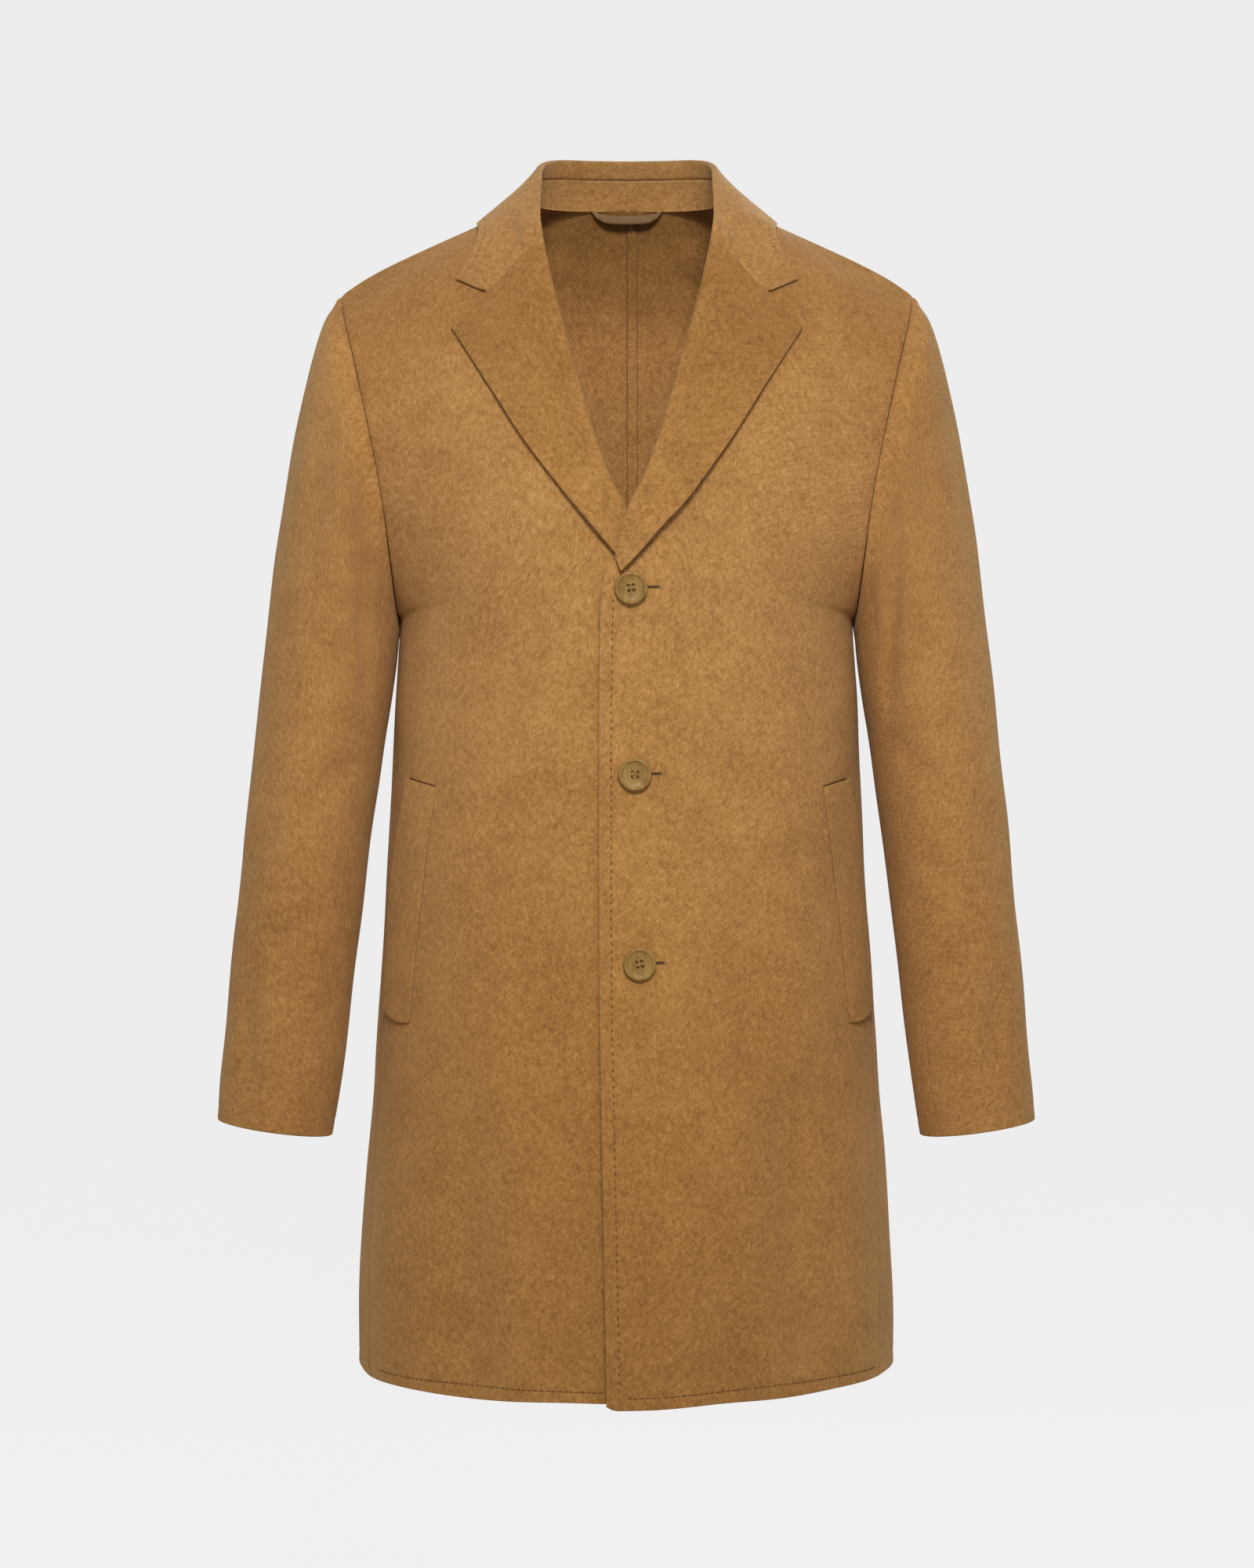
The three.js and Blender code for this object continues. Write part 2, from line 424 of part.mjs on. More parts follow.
const solidOf = (g) => {
  const m = g.clone();
  m.deleteAttribute('normal'); m.deleteAttribute('uv');
  const w = mergeVertices(m, 1e-4);
  return new wasm.Manifold(new wasm.Mesh({ numProp: 3, vertProperties: new Float32Array(w.attributes.position.array), triVerts: new Uint32Array(w.index.array) }));
};
const geometryOf = (s) => {
  const m = s.getMesh(), g = new THREE.BufferGeometry(), pos = [];
  for (let k = 0; k < m.vertProperties.length / m.numProp; k++) for (let c = 0; c < 3; c++) pos.push(m.vertProperties[k * m.numProp + c]);
  g.setAttribute('position', new THREE.Float32BufferAttribute(pos, 3));
  g.setIndex(Array.from(m.triVerts));
  return g;
};
// profile of the button from its back to its dished face, radius and height
const BUTTON = table('r h', [0, 0], [9.6, 0], [11.8, 1.0], [12.5, 2.3], [12.2, 3.7], [11.2, 4.4], [10.2, 4.1], [9.0, 3.2], [6.5, 2.9], [0, 2.8]);
const HOLE_R = 1.15, HOLE_AT = 2.5;
function placed(g, at, dir) {
  const m = new THREE.Matrix4().compose(new THREE.Vector3(...at),
    new THREE.Quaternion().setFromUnitVectors(new THREE.Vector3(0, 1, 0), new THREE.Vector3(...dir)), new THREE.Vector3(1, 1, 1));
  g.applyMatrix4(m);
  return g;
}
function button(b) {
  const top = onPanel((u, v) => frontPoint(u, v, true), b.x, b.z), under = onPanel((u, v) => frontPoint(u, v, false), b.x, b.z);
  const n = unit([top.n[0] * 0.5, top.n[1], 0]);
  const back = add(top.p, mul(n, 1.0));
  const disc = placed(new THREE.LatheGeometry(BUTTON.map((r) => new THREE.Vector2(r.r, r.h)), 18), back, n);
  const reach = len(sub(back, under.p)) - 0.35;
  const shank = placed(new THREE.CylinderGeometry(SHANK_R, SHANK_R, reach + 1, 8), add(back, mul(n, (1 - reach) / 2)), n);
  let s = solidOf(disc).add(solidOf(shank));
  for (let k = 0; k < 4; k++) {
    const a = (45 + 90 * k) * rad, q = add(back, [HOLE_AT * Math.cos(a), 0, HOLE_AT * Math.sin(a)]);
    s = s.subtract(solidOf(placed(new THREE.CylinderGeometry(HOLE_R, HOLE_R, 3, 6), add(q, mul(n, 2.6)), n)));
  }
  return { geometry: geometryOf(s), back, n };
}

// ---------------------------------------------------------------- assembly
const CAMEL = 0xad8249, CAMEL_DARK = 0x9a713e, LOOP_BROWN = 0x7d6546, HORN = 0x97804b;
const group = new THREE.Group();
const piece = (name, geometry, color, roughness = 0.95) => {
  const mesh = new THREE.Mesh(geometry, new THREE.MeshStandardMaterial({ color, roughness, metalness: 0 }));
  mesh.name = name;
  group.add(mesh);
};

const buttons = BUTTONS.map(button);
let topFront = solidOf(panel((u, v) => frontPoint(u, v, true), -1));
BUTTONS.forEach((b, i) => {                   // keyhole buttonholes: an eye round the shank and a slit
  const { back, n } = buttons[i];
  const eye = placed(new THREE.CylinderGeometry(EYE_R, EYE_R, 16, 10), add(back, mul(n, -2)), n);
  const slit = new THREE.BoxGeometry(SLIT_LEN, 16, SLIT_H);
  slit.translate(back[0] + SLIT_LEN / 2 + 1, back[1] + 2, back[2]);
  topFront = topFront.subtract(solidOf(eye)).subtract(solidOf(slit));
});
const backHalf = panel(backPoint, 1);
const arm = sleeves();
const neck = collar();
piece('front_left', geometryOf(topFront), CAMEL);
piece('front_right', mirrored(panel((u, v) => frontPoint(u, v, false), -1)), CAMEL);
piece('back_left', backHalf, CAMEL);
piece('back_right', mirrored(backHalf), CAMEL);
piece('sleeve_top_left', arm.top, CAMEL);
piece('sleeve_top_right', mirrored(arm.top), CAMEL);
piece('sleeve_under_left', arm.under, CAMEL_DARK);
piece('sleeve_under_right', mirrored(arm.under), CAMEL_DARK);
piece('collar_fall', neck.fall, CAMEL);
piece('collar_stand', neck.stand, CAMEL_DARK);
piece('lapel_left', lapel(true), CAMEL);
piece('lapel_right', mirrored(lapel(false)), CAMEL);
piece('welt_left', welt(true, 2), CAMEL);
piece('welt_right', mirrored(welt(false, -2)), CAMEL);
piece('hanger_loop', hangerLoop(), LOOP_BROWN);
buttons.forEach((b, i) => piece(`button_${i + 1}`, b.geometry, HORN, 0.35));

export default group;
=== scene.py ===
# Looks of a knee-above wool overcoat: every cloth piece is a thin shell on the form of its solid.
import math

import bmesh
import bpy
import numpy as np
from mathutils import Matrix, Vector, kdtree, noise


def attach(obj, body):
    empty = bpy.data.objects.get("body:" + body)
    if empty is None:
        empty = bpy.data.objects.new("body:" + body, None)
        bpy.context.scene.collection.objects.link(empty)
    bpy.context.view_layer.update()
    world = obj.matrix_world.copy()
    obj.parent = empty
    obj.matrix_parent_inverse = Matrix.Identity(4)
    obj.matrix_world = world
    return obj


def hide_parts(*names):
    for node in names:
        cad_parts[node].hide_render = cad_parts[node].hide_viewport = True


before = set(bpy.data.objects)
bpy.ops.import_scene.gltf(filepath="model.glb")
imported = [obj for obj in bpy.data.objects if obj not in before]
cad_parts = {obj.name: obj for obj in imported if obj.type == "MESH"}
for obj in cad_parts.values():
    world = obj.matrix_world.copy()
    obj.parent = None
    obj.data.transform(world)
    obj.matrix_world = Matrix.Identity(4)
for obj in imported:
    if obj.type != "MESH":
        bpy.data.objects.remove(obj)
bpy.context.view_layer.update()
scene = bpy.context.scene

# ------------------------------------------------------------------ camera
cam_data = bpy.data.cameras.new("camera")
cam_data.lens = 75.6
cam_data.sensor_width = 36.0
cam_data.clip_end = 60.0
cam = bpy.data.objects.new("camera", cam_data)
cam.location = (0.0, -2.64, -0.464)
cam.rotation_euler = (math.pi / 2, 0.0, 0.0)
scene.collection.objects.link(cam)
scene.camera = cam

# ------------------------------------------------------------------ sizes, in millimetres, as in the solids
CLOTH, LIE, OVERLAP, OVERLAP_LAPEL, FOLD = 2.4, 3.4, 3.2, 4.4, 3.6
BUTTON_R = 12.5
BUTTONS = [(3.0, -316.5), (6.0, -457.0), (9.5, -599.5)]
ARM_FRONT = np.array([
    [229, 0, -73], [227, -15, -84], [223.5, -31, -98], [219, -45, -114], [214, -56, -133], [209, -65, -154],
    [203.5, -72, -178], [198, -76, -204], [193, -77, -231], [189, -73, -258], [186.2, -63, -284],
    [184, -45, -308], [182.4, -19, -327], [181, 12, -336]], float)
ARM_BACK = np.array([
    [229, 0, -73], [227.5, 14, -84], [224.5, 28, -98], [220.5, 40, -114], [216, 50, -133], [211.5, 58, -154],
    [207, 64, -178], [203, 68, -204], [199, 70, -231], [194.5, 69, -258], [189.5, 62, -284],
    [185.5, 50, -308], [182.6, 33, -327], [181, 12, -336]], float)
# x, y, z, centre of the arc, dip towards the armhole
FRONT_IN = np.array([
    [78, -2, 2, 60, 1.0], [77, -20, -4, 45, 1.12], [74.5, -42, -14, 36, 1.15], [69.5, -63, -29, 30, 1.15],
    [65.5, -80, -45, 26, 1.15], [60.5, -97, -67, 22, 1.15], [53.5, -113, -94, 20, 1.15], [45.5, -126, -124, 18, 1.15],
    [36, -137, -158, 16, 1.15], [25, -144, -196, 15, 1.1], [13.5, -149, -228, 14, 1.1], [1.5, -152, -256, 13, 1.0],
    [-8, -154, -286, 12, 1.0], [-18.5, -155, -312, 12, 1.0]], float)
BACK_IN = np.array([
    [78, -2, 2, -60, 1.0], [76, 22, 4, -40, 1.1], [69, 46, 6, -25, 1.25], [53, 68, 8, -15, 1.45],
    [28, 81, 9.5, -8, 1.65], [0, 86, 10, -2, 1.8], [0, 100, -22, 2, 1.8], [0, 110, -62, 5, 1.8],
    [0, 117, -106, 8, 1.7], [0, 121, -152, 10, 1.6], [0, 123.5, -198, 11, 1.5], [0, 125, -245, 12, 1.3],
    [0, 125.5, -290, 12, 1.1], [0, 125.5, -334, 12, 1.0]], float)
# z, half width, centre, depth in front, depth behind, side seam angle, front edge
LOWER = np.array([
    [-336, 181, 12, 155, 125.5, 90, -20], [-368, 182.6, 13, 155.5, 126, 91, -20.5], [-402, 184.8, 15, 156, 127, 91, -21],
    [-452, 186.6, 17, 157, 129, 88, -21.2], [-502, 189.2, 19, 158, 132, 85, -21.2], [-560, 192.6, 22, 159, 136, 82, -21],
    [-620, 197, 25, 160, 141, 79.5, -20.8], [-690, 200.8, 29, 160.8, 145, 76.5, -19.5], [-765, 205.8, 32, 161, 148, 73.5, -17.8],
    [-848, 210.4, 35, 160.2, 150, 70.5, -16], [-932, 212.6, 38, 158, 151, 68, -14.5]], float)
UP = len(ARM_FRONT) - 1
ROWS = UP + len(LOWER) - 1
# outer x z, inner x z, centre y, depth in front, depth behind
SLEEVE = np.array([
    [240, -91, 182.6, -342, -3, 79, 74], [250.5, -120, 184, -349, -3, 82, 78], [260.5, -162, 185, -359, -2, 82, 80],
    [270, -212, 186.4, -376, -2, 81, 79], [279, -270, 189.4, -402, -3, 78, 76], [287, -335, 195.6, -440, -5, 74, 71],
    [294.4, -400, 202.6, -490, -8, 69, 65], [301.4, -462, 210, -544, -12, 64, 59], [308.2, -526, 217, -599, -17, 59, 54],
    [315, -592, 223.6, -653, -22, 54, 50], [321.6, -662, 230.4, -705, -27, 50, 47], [327, -729, 236.4, -742, -31, 47, 45]], float)
GORGE = np.array([[64, -45.7], [72, -48.2], [77, -50.3], [87, -61], [97, -72.4], [107, -82.3]], float)
ROLL = np.array([[64, -45.7], [53.2, -94], [39, -146], [24.5, -198], [12, -232], [-0.6, -258], [-7, -280], [-9.5, -294]], float)
LAPEL_EDGE = np.array([[135, -111], [122, -132], [101, -165], [77.5, -202], [49, -240], [18, -279], [5, -294], [-5, -304]], float)
# base on the neck seam, turned inner edge, free edge, share of the stand
COLLAR = np.array([
    [0, 86, 10, 0, 78, 50.5, 0, 105, -4, 0.66], [28, 81, 9.5, 30, 75.5, 50.5, 33, 103, -5, 0.66],
    [53, 68, 8, 52, 67, 49.5, 66, 92, -9, 0.66], [69, 46, 6, 64, 50, 44.5, 94, 68, -6, 0.66],
    [76, 22, 4, 67.2, 27, 36, 112, 38, -10, 0.66], [78, -2, 2, 67, 3, 25, 120.5, 6, -13.5, 0.64],
    [77, -20, -4, 66.6, -18, 12, 119.5, -21, -19, 0.62], [74.5, -42, -14, 66.4, -42, -5, 118, -42, -28, 0.58],
    [69.5, -63, -29, 66, -63, -21.5, 121, -58, -46, 0.55], [65.5, -80, -45, 63.6, -84, -37.5, 134.6, -74, -69.6, 0.5]], float)
COLLAR_TIP = np.array([134.6, -69.0])
# z and x of the front edge, z and x of the outer edge
WELT = np.array([[-466.5, 149.5, -460, 171], [-525, 157.8, -520, 181.5], [-585, 165, -580, 187.8], [-650, 171.2, -642, 191]], float)
LOOP = np.array([[-30, 5.5, 78.2], [-26, 4.6, 78.0], [-21, 2.4, 77.4], [-12, 1.2, 77.1], [0, 0.9, 77.1],
                 [12, 1.2, 77.1], [21, 2.4, 77.4], [26, 4.6, 78.0], [30, 5.5, 78.2]], float)

# Creases in the front view of a front and of a back (x, z of both ends), and on a sleeve
# (angle from the outer line towards the front, z). Then width and depth; depth below 0 is a ridge.
FRONT_CREASES = [  # side, x0, z0, x1, z1, width, depth
    (1, 150, -262, 108, -352, 26, 0.4), (1, 160, -222, 128, -262, 18, 0.3), (1, 150, -380, 96, -402, 22, 0.8),
    (1, 44, -318, 116, -352, 13, 1.0), (1, 40, -458, 132, -472, 20, 0.9), (1, 88, -520, 96, -700, 26, 1.2),
    (1, 60, -760, 74, -925, 30, 1.8), (1, 134, -690, 150, -925, 26, 2.2), (1, 176, -560, 184, -440, 14, 1.0),
    (1, 92, -120, 168, -150, 22, 0.8),
    (-1, 150, -258, 112, -356, 26, 0.4), (-1, 160, -216, 118, -240, 18, 0.3), (-1, 52, -322, 128, -378, 18, 0.8),
    (-1, 36, -470, 118, -500, 20, 0.9), (-1, 70, -560, 60, -740, 28, 1.1), (-1, 46, -800, 54, -928, 26, 1.5),
    (-1, 116, -720, 128, -928, 28, 2.1), (-1, 180, -540, 182, -420, 14, 1.2), (-1, 102, -110, 170, -160, 20, 0.9)]
BACK_CREASES = [
    (1, 176, -250, 120, -292, 16, 2.0), (1, 170, -300, 92, -352, 18, 1.6), (1, 60, -118, 60, -250, 30, 1.0),
    (1, 132, -420, 60, -436, 20, 1.5), (1, 120, -520, 128, -700, 30, 1.6), (1, 60, -650, 66, -925, 34, 2.4),
    (1, 150, -720, 158, -925, 26, 2.0), (1, 40, -26, 120, -40, 12, 0.9),
    (-1, 172, -262, 124, -312, 15, 1.8), (-1, 166, -214, 110, -232, 16, 1.2), (-1, 148, -402, 72, -420, 22, 1.5),
    (-1, 98, -540, 108, -730, 28, 1.4), (-1, 72, -690, 84, -928, 32, 2.2), (-1, 160, -640, 168, -925, 26, 1.8),
    (-1, 44, -30, 116, -48, 12, 0.8)]
SLEEVE_CREASES = [  # side, angle0, z0, angle1, z1, width, depth
    (1, 58, -130, 74, -262, 13, 1.2), (1, 103, -236, 138, -412, 10, 2.1), (1, 30, -150, 36, -290, 14, 1.0),
    (1, 112, -340, 72, -392, 16, 0.6), (1, 136, -432, 92, -478, 14, 1.1), (1, 70, -470, 30, -520, 16, 0.8),
    (1, 120, -520, 70, -566, 15, 0.9), (1, 60, -610, 78, -700, 13, 1.0), (1, 250, -200, 230, -330, 14, 1.6),
    (1, 280, -400, 230, -450, 14, 1.8), (1, 290, -470, 240, -520, 13, 1.6), (1, 260, -580, 270, -700, 14, 1.1),
    (1, 330, -260, 300, -340, 16, 1.2),
    (-1, 52, -126, 66, -284, 14, 1.3), (-1, 102, -232, 136, -400, 10, 2.3), (-1, 24, -170, 28, -300, 15, 1.0),
    (-1, 114, -346, 76, -400, 16, 0.6), (-1, 134, -446, 86, -486, 14, 1.2), (-1, 66, -496, 26, -536, 16, 0.9),
    (-1, 112, -560, 74, -600, 15, 0.9), (-1, 54, -620, 68, -706, 14, 1.1), (-1, 244, -210, 226, -340, 14, 1.5),
    (-1, 286, -420, 236, -462, 14, 1.7), (-1, 296, -500, 246, -540, 13, 1.5), (-1, 318, -280, 296, -360, 16, 1.1)]

RAD = math.pi / 180


def smooth(a, b, v):
    t = np.clip((np.asarray(v, float) - a) / (b - a), 0, 1)
    return t * t * (3 - 2 * t)


def unit(a):
    a = np.asarray(a, float)
    return a / np.maximum(np.linalg.norm(a, axis=-1, keepdims=True), 1e-9)


def through(A, t, own=False):
    """Smooth curve through the rows of A. With own, A is [row, point, ...] and t gives each point its own row."""
    A = np.asarray(A, float)
    n = len(A) - 1
    t = np.asarray(t, float)
    i = np.clip(np.floor(t).astype(int), 0, n - 1)
    f = np.clip(t - i, 0, 1)
    E = np.concatenate([[2 * A[0] - A[1]], A, [2 * A[n] - A[n - 1]]])
    if own:
        k = np.arange(A.shape[1])
        p, q, r, s = E[i, k], E[i + 1, k], E[i + 2, k], E[i + 3, k]
        f = f.reshape(f.shape + (1,) * (A.ndim - 2))
    else:
        p, q, r, s = E[i], E[i + 1], E[i + 2], E[i + 3]
        f = f.reshape(f.shape + (1,) * (A.ndim - 1))
    return q + 0.5 * f * (r - p + f * (2 * p - 5 * q + 4 * r - s + f * (3 * (q - r) + s - p)))


# ------------------------------------------------------------------ the body of the coat
def upper_row(inner, outer, u, sign):
    yc = inner[3]
    pi, po = abs(inner[1] - yc), abs(outer[1] - yc)
    k = (inner[0] / outer[0]) ** 2
    d = math.sqrt((pi * pi - k * po * po) / (1 - k))
    to = math.acos(min(1, po / d))
    w = outer[0] / math.sin(to)
    ti = math.asin(max(-1, min(1, inner[0] / w)))
    th = ti + (to - ti) * u
    x = w * np.sin(th)
    f = np.clip((x - inner[0]) / (outer[0] - inner[0]), 0, 1)
    return np.stack([x, yc + sign * d * np.cos(th), inner[2] + (outer[2] - inner[2]) * f ** inner[4]], -1)


def seam_row(u):
    a, b = ARM_FRONT[0], FRONT_IN[0]
    uu = np.clip(u, 0, 1)
    return np.stack([b[0] + (a[0] - b[0]) * u, b[1] + (a[1] - b[1]) * u, b[2] + (a[2] - b[2]) * (0.9 * u + 0.1 * uu ** 8)], -1)


def lower_point(r, deg):
    a = deg * RAD
    dep = np.where(deg < 90, r[3] + r[2], r[4] - r[2])
    return np.stack([r[1] * np.sin(a), r[2] - dep * np.cos(a), np.full_like(a, r[0])], -1)


def body_rows(front, u):
    u = np.asarray(u, float)
    rows = [seam_row(u)]
    for i in range(1, UP + 1):
        rows.append(upper_row(FRONT_IN[i], ARM_FRONT[i], u, -1) if front else upper_row(BACK_IN[i], ARM_BACK[i], u, 1))
    for r in LOWER[1:]:
        a0 = math.asin(r[6] / r[1]) / RAD if front else 180.0
        rows.append(lower_point(r, a0 + (r[5] - a0) * u))
    return np.array(rows)


def lift_at(x, z):
    return (1 - smooth(24, 80, x)) * (OVERLAP + OVERLAP_LAPEL * smooth(-352, -318, z) * (1 - smooth(30, 70, x))) * smooth(-130, -215, z)


def crease_field(a, b, table, side, a_scale=1.0, strength=1.5):
    """Soft troughs with low shoulders along short lines, in the plane of (a, b)."""
    out = np.zeros_like(a)
    for n, (s, a0, b0, a1, b1, w, d) in enumerate(table):
        if s != side:
            continue
        d = d * strength
        px, pz = (a - a0) * a_scale, b - b0
        dx, dz = (a1 - a0) * a_scale, b1 - b0
        L = math.hypot(dx, dz)
        t = (px * dx + pz * dz) / (L * L)
        # the line bends a little, differently for each crease
        bend = 0.05 * L * math.sin(n * 2.4 + 1.0) * np.sin(np.pi * np.clip(t, 0, 1))
        off = (px * dz - pz * dx) / L + bend
        along = np.exp(-np.maximum(0, np.abs(t - 0.5) - 0.3) ** 2 / 0.035)
        r2 = (off / w) ** 2
        out -= d * (1 - 0.8 * r2) * np.exp(-0.62 * r2) * along
    return out


def waves(x, y, z, seed):
    """Slow unevenness of the cloth, the same on both sides of every seam."""
    a = np.arctan2(x, -(y - 20.0))
    hem = smooth(-520, -930, z)
    return (hem * (1.9 * np.sin(5 * a + 0.8 + 0.4 * np.sin(z / 140)) + 1.1 * np.sin(9 * a - 1.3) + 0.5 * np.sin(15 * a + 2.0))
            + 0.55 * np.sin(x / 41 + z / 97 + seed) * np.sin(z / 63 - x / 88) + 0.35 * np.sin(x / 23 - z / 37 + 1.7 + seed) * np.cos(z / 29 + y / 40))


def body_normal(p):
    n = np.stack([p[..., 0] / 1.25, p[..., 1] - 15.0, np.zeros_like(p[..., 0])], -1)
    top = smooth(-170, -20, p[..., 2])
    n = unit(n)
    n[..., 2] += 1.1 * top
    return unit(n)


def displace(p, front, side, u, v):
    p = p.copy()
    z = p[..., 2]
    # the photo's right half hangs a little wider at the side and flares at the hem
    wide = (2.2 * smooth(-290, -380, z) + 4.2 * smooth(-700, -860, z)) if side < 0 else (0.8 * smooth(-290, -380, z))
    p[..., 0] += wide * smooth(90, 190, p[..., 0])
    seam = (1 - smooth(0.9, 1.0, u)) * smooth(0.0, 1.6, v)
    d = crease_field(p[..., 0], p[..., 2], FRONT_CREASES if front else BACK_CREASES, side, strength=1.9 if front else 4.0) * seam
    if not front:
        d = d * smooth(0, 12, p[..., 0])
    w = waves(side * p[..., 0], p[..., 1], p[..., 2], 0.0) * smooth(0.0, 1.5, v)
    arm = 1 - smooth(0.9, 1.0, u) * (1 - smooth(UP, UP + 1.0, v))
    neck = smooth(3.0, 8.0, v)
    return p + body_normal(p) * (d + w * arm * np.maximum(neck, 0.25))[..., None]


def body_grid(front, side, us, vs, over=False):
    """Grid of a panel of the wearer's left (side 1) or right (side -1), in the left half's coordinates."""
    p = through(body_rows(front, us), vs)
    U, V = np.meshgrid(us, vs)
    if over:
        p[..., 1] -= lift_at(p[..., 0], p[..., 2])
    return displace(p, front, side, U, V)


def body_points(front, side, u, v, over=False):
    p = through(body_rows(front, u), v, own=True)
    if over:
        p[..., 1] -= lift_at(p[..., 0], p[..., 2])
    return displace(p, front, side, u, v)


_coarse = {}


def on_panel(front, side, x, z, over=False):
    """Point and outward normal of a panel where it has the given x and z."""
    x, z = np.asarray(x, float).ravel(), np.asarray(z, float).ravel()
    key = (front, side, over)
    if key not in _coarse:
        us, vs = np.linspace(-0.1, 1, 34), np.linspace(0, ROWS, 120)
        g = body_grid(front, side, us, vs, over)
        U, V = np.meshgrid(us, vs)
        _coarse[key] = (g[..., 0].ravel(), g[..., 2].ravel(), U.ravel(), V.ravel())
    gx, gz, gu, gv = _coarse[key]
    k = np.argmin((gx[None] - x[:, None]) ** 2 + (gz[None] - z[:, None]) ** 2, axis=1)
    u, v = gu[k].copy(), gv[k].copy()
    e = 1e-3
    for _ in range(9):
        p = body_points(front, side, u, v, over)
        pu = (body_points(front, side, u + e, v, over) - p) / e
        pv = (body_points(front, side, u, np.minimum(v + e, ROWS), over) - body_points(front, side, u, np.minimum(v + e, ROWS) - e, over)) / e
        fx, fz = p[:, 0] - x, p[:, 2] - z
        det = pu[:, 0] * pv[:, 2] - pv[:, 0] * pu[:, 2]
        det = np.where(np.abs(det) < 1e-6, 1e-6, det)
        du = (fx * pv[:, 2] - fz * pv[:, 0]) / det
        dv = (fz * pu[:, 0] - fx * pu[:, 2]) / det
        u = np.clip(u - np.clip(du, -0.1, 0.1), -0.15, 1)
        v = np.clip(v - np.clip(dv, -0.8, 0.8), 0, ROWS)
    p = body_points(front, side, u, v, over)
    pu = body_points(front, side, u + e, v, over) - body_points(front, side, u - e, v, over)
    va, vb = np.maximum(v - e, 0), np.minimum(v + e, ROWS)
    pv = body_points(front, side, u, vb, over) - body_points(front, side, u, va, over)
    n = unit(np.cross(pu, pv))
    ref = p - np.stack([np.zeros_like(x), np.full_like(x, 15.0), np.clip(p[:, 2], -900, -150)], -1)
    n *= np.sign((n * ref).sum(-1, keepdims=True) + 1e-12)
    return p, n


# ------------------------------------------------------------------ meshes
def spaced(length, step, fine=(True, True)):
    """Stops from 0 to 1 along a length, close together next to an edge that is rounded or sewn."""
    near = np.array([0, 0.12, 0.35, 0.7, 1.2, 1.9, 2.8, 4.0, 5.4, 7.0, 9.0, 12.0])
    a = near if fine[0] else np.array([0.0])
    b = near if fine[1] else np.array([0.0])
    lo, hi = a[-1], length - b[-1]
    n = max(2, int(round((hi - lo) / step)))
    return np.concatenate([a[:-1], np.linspace(lo, hi, n + 1), length - b[::-1][1:]]) / length


def grid_normals(P, ref=None, sign=None):
    a, b = np.gradient(P, axis=0), np.gradient(P, axis=1)
    n = unit(np.cross(a, b))
    if ref is not None:
        s = np.sign((n * (P - ref)).sum(-1).sum())
        n = n * (s or 1)
    elif sign is not None:
        n = n * sign
    return n


def arcs(P):
    """Distances along the grid from each of its four edges."""
    dc = np.linalg.norm(np.diff(P, axis=1), axis=-1)
    dr = np.linalg.norm(np.diff(P, axis=0), axis=-1)
    left = np.concatenate([np.zeros((P.shape[0], 1)), np.cumsum(dc, 1)], 1)
    top = np.concatenate([np.zeros((1, P.shape[1])), np.cumsum(dr, 0)], 0)
    return left, left[:, -1:] - left, top, top[-1:] - top


MATS = {}


def make_object(name, co, faces, mat, uv=None, smooth_shade=True):
    me = bpy.data.meshes.new(name)
    me.from_pydata((np.asarray(co) * 0.001).tolist(), [], [tuple(f) for f in faces])
    if smooth_shade:
        me.polygons.foreach_set("use_smooth", [True] * len(me.polygons))
    if uv is not None:
        layer = me.uv_layers.new(name="cloth")
        idx = np.zeros(len(me.loops), np.int32)
        me.loops.foreach_get("vertex_index", idx)
        layer.data.foreach_set("uv", (np.asarray(uv)[idx] * 0.001).astype(np.float32).ravel())
    me.update()
    ob = bpy.data.objects.new(name, me)
    scene.collection.objects.link(ob)
    me.materials.append(MATS[mat])
    return ob


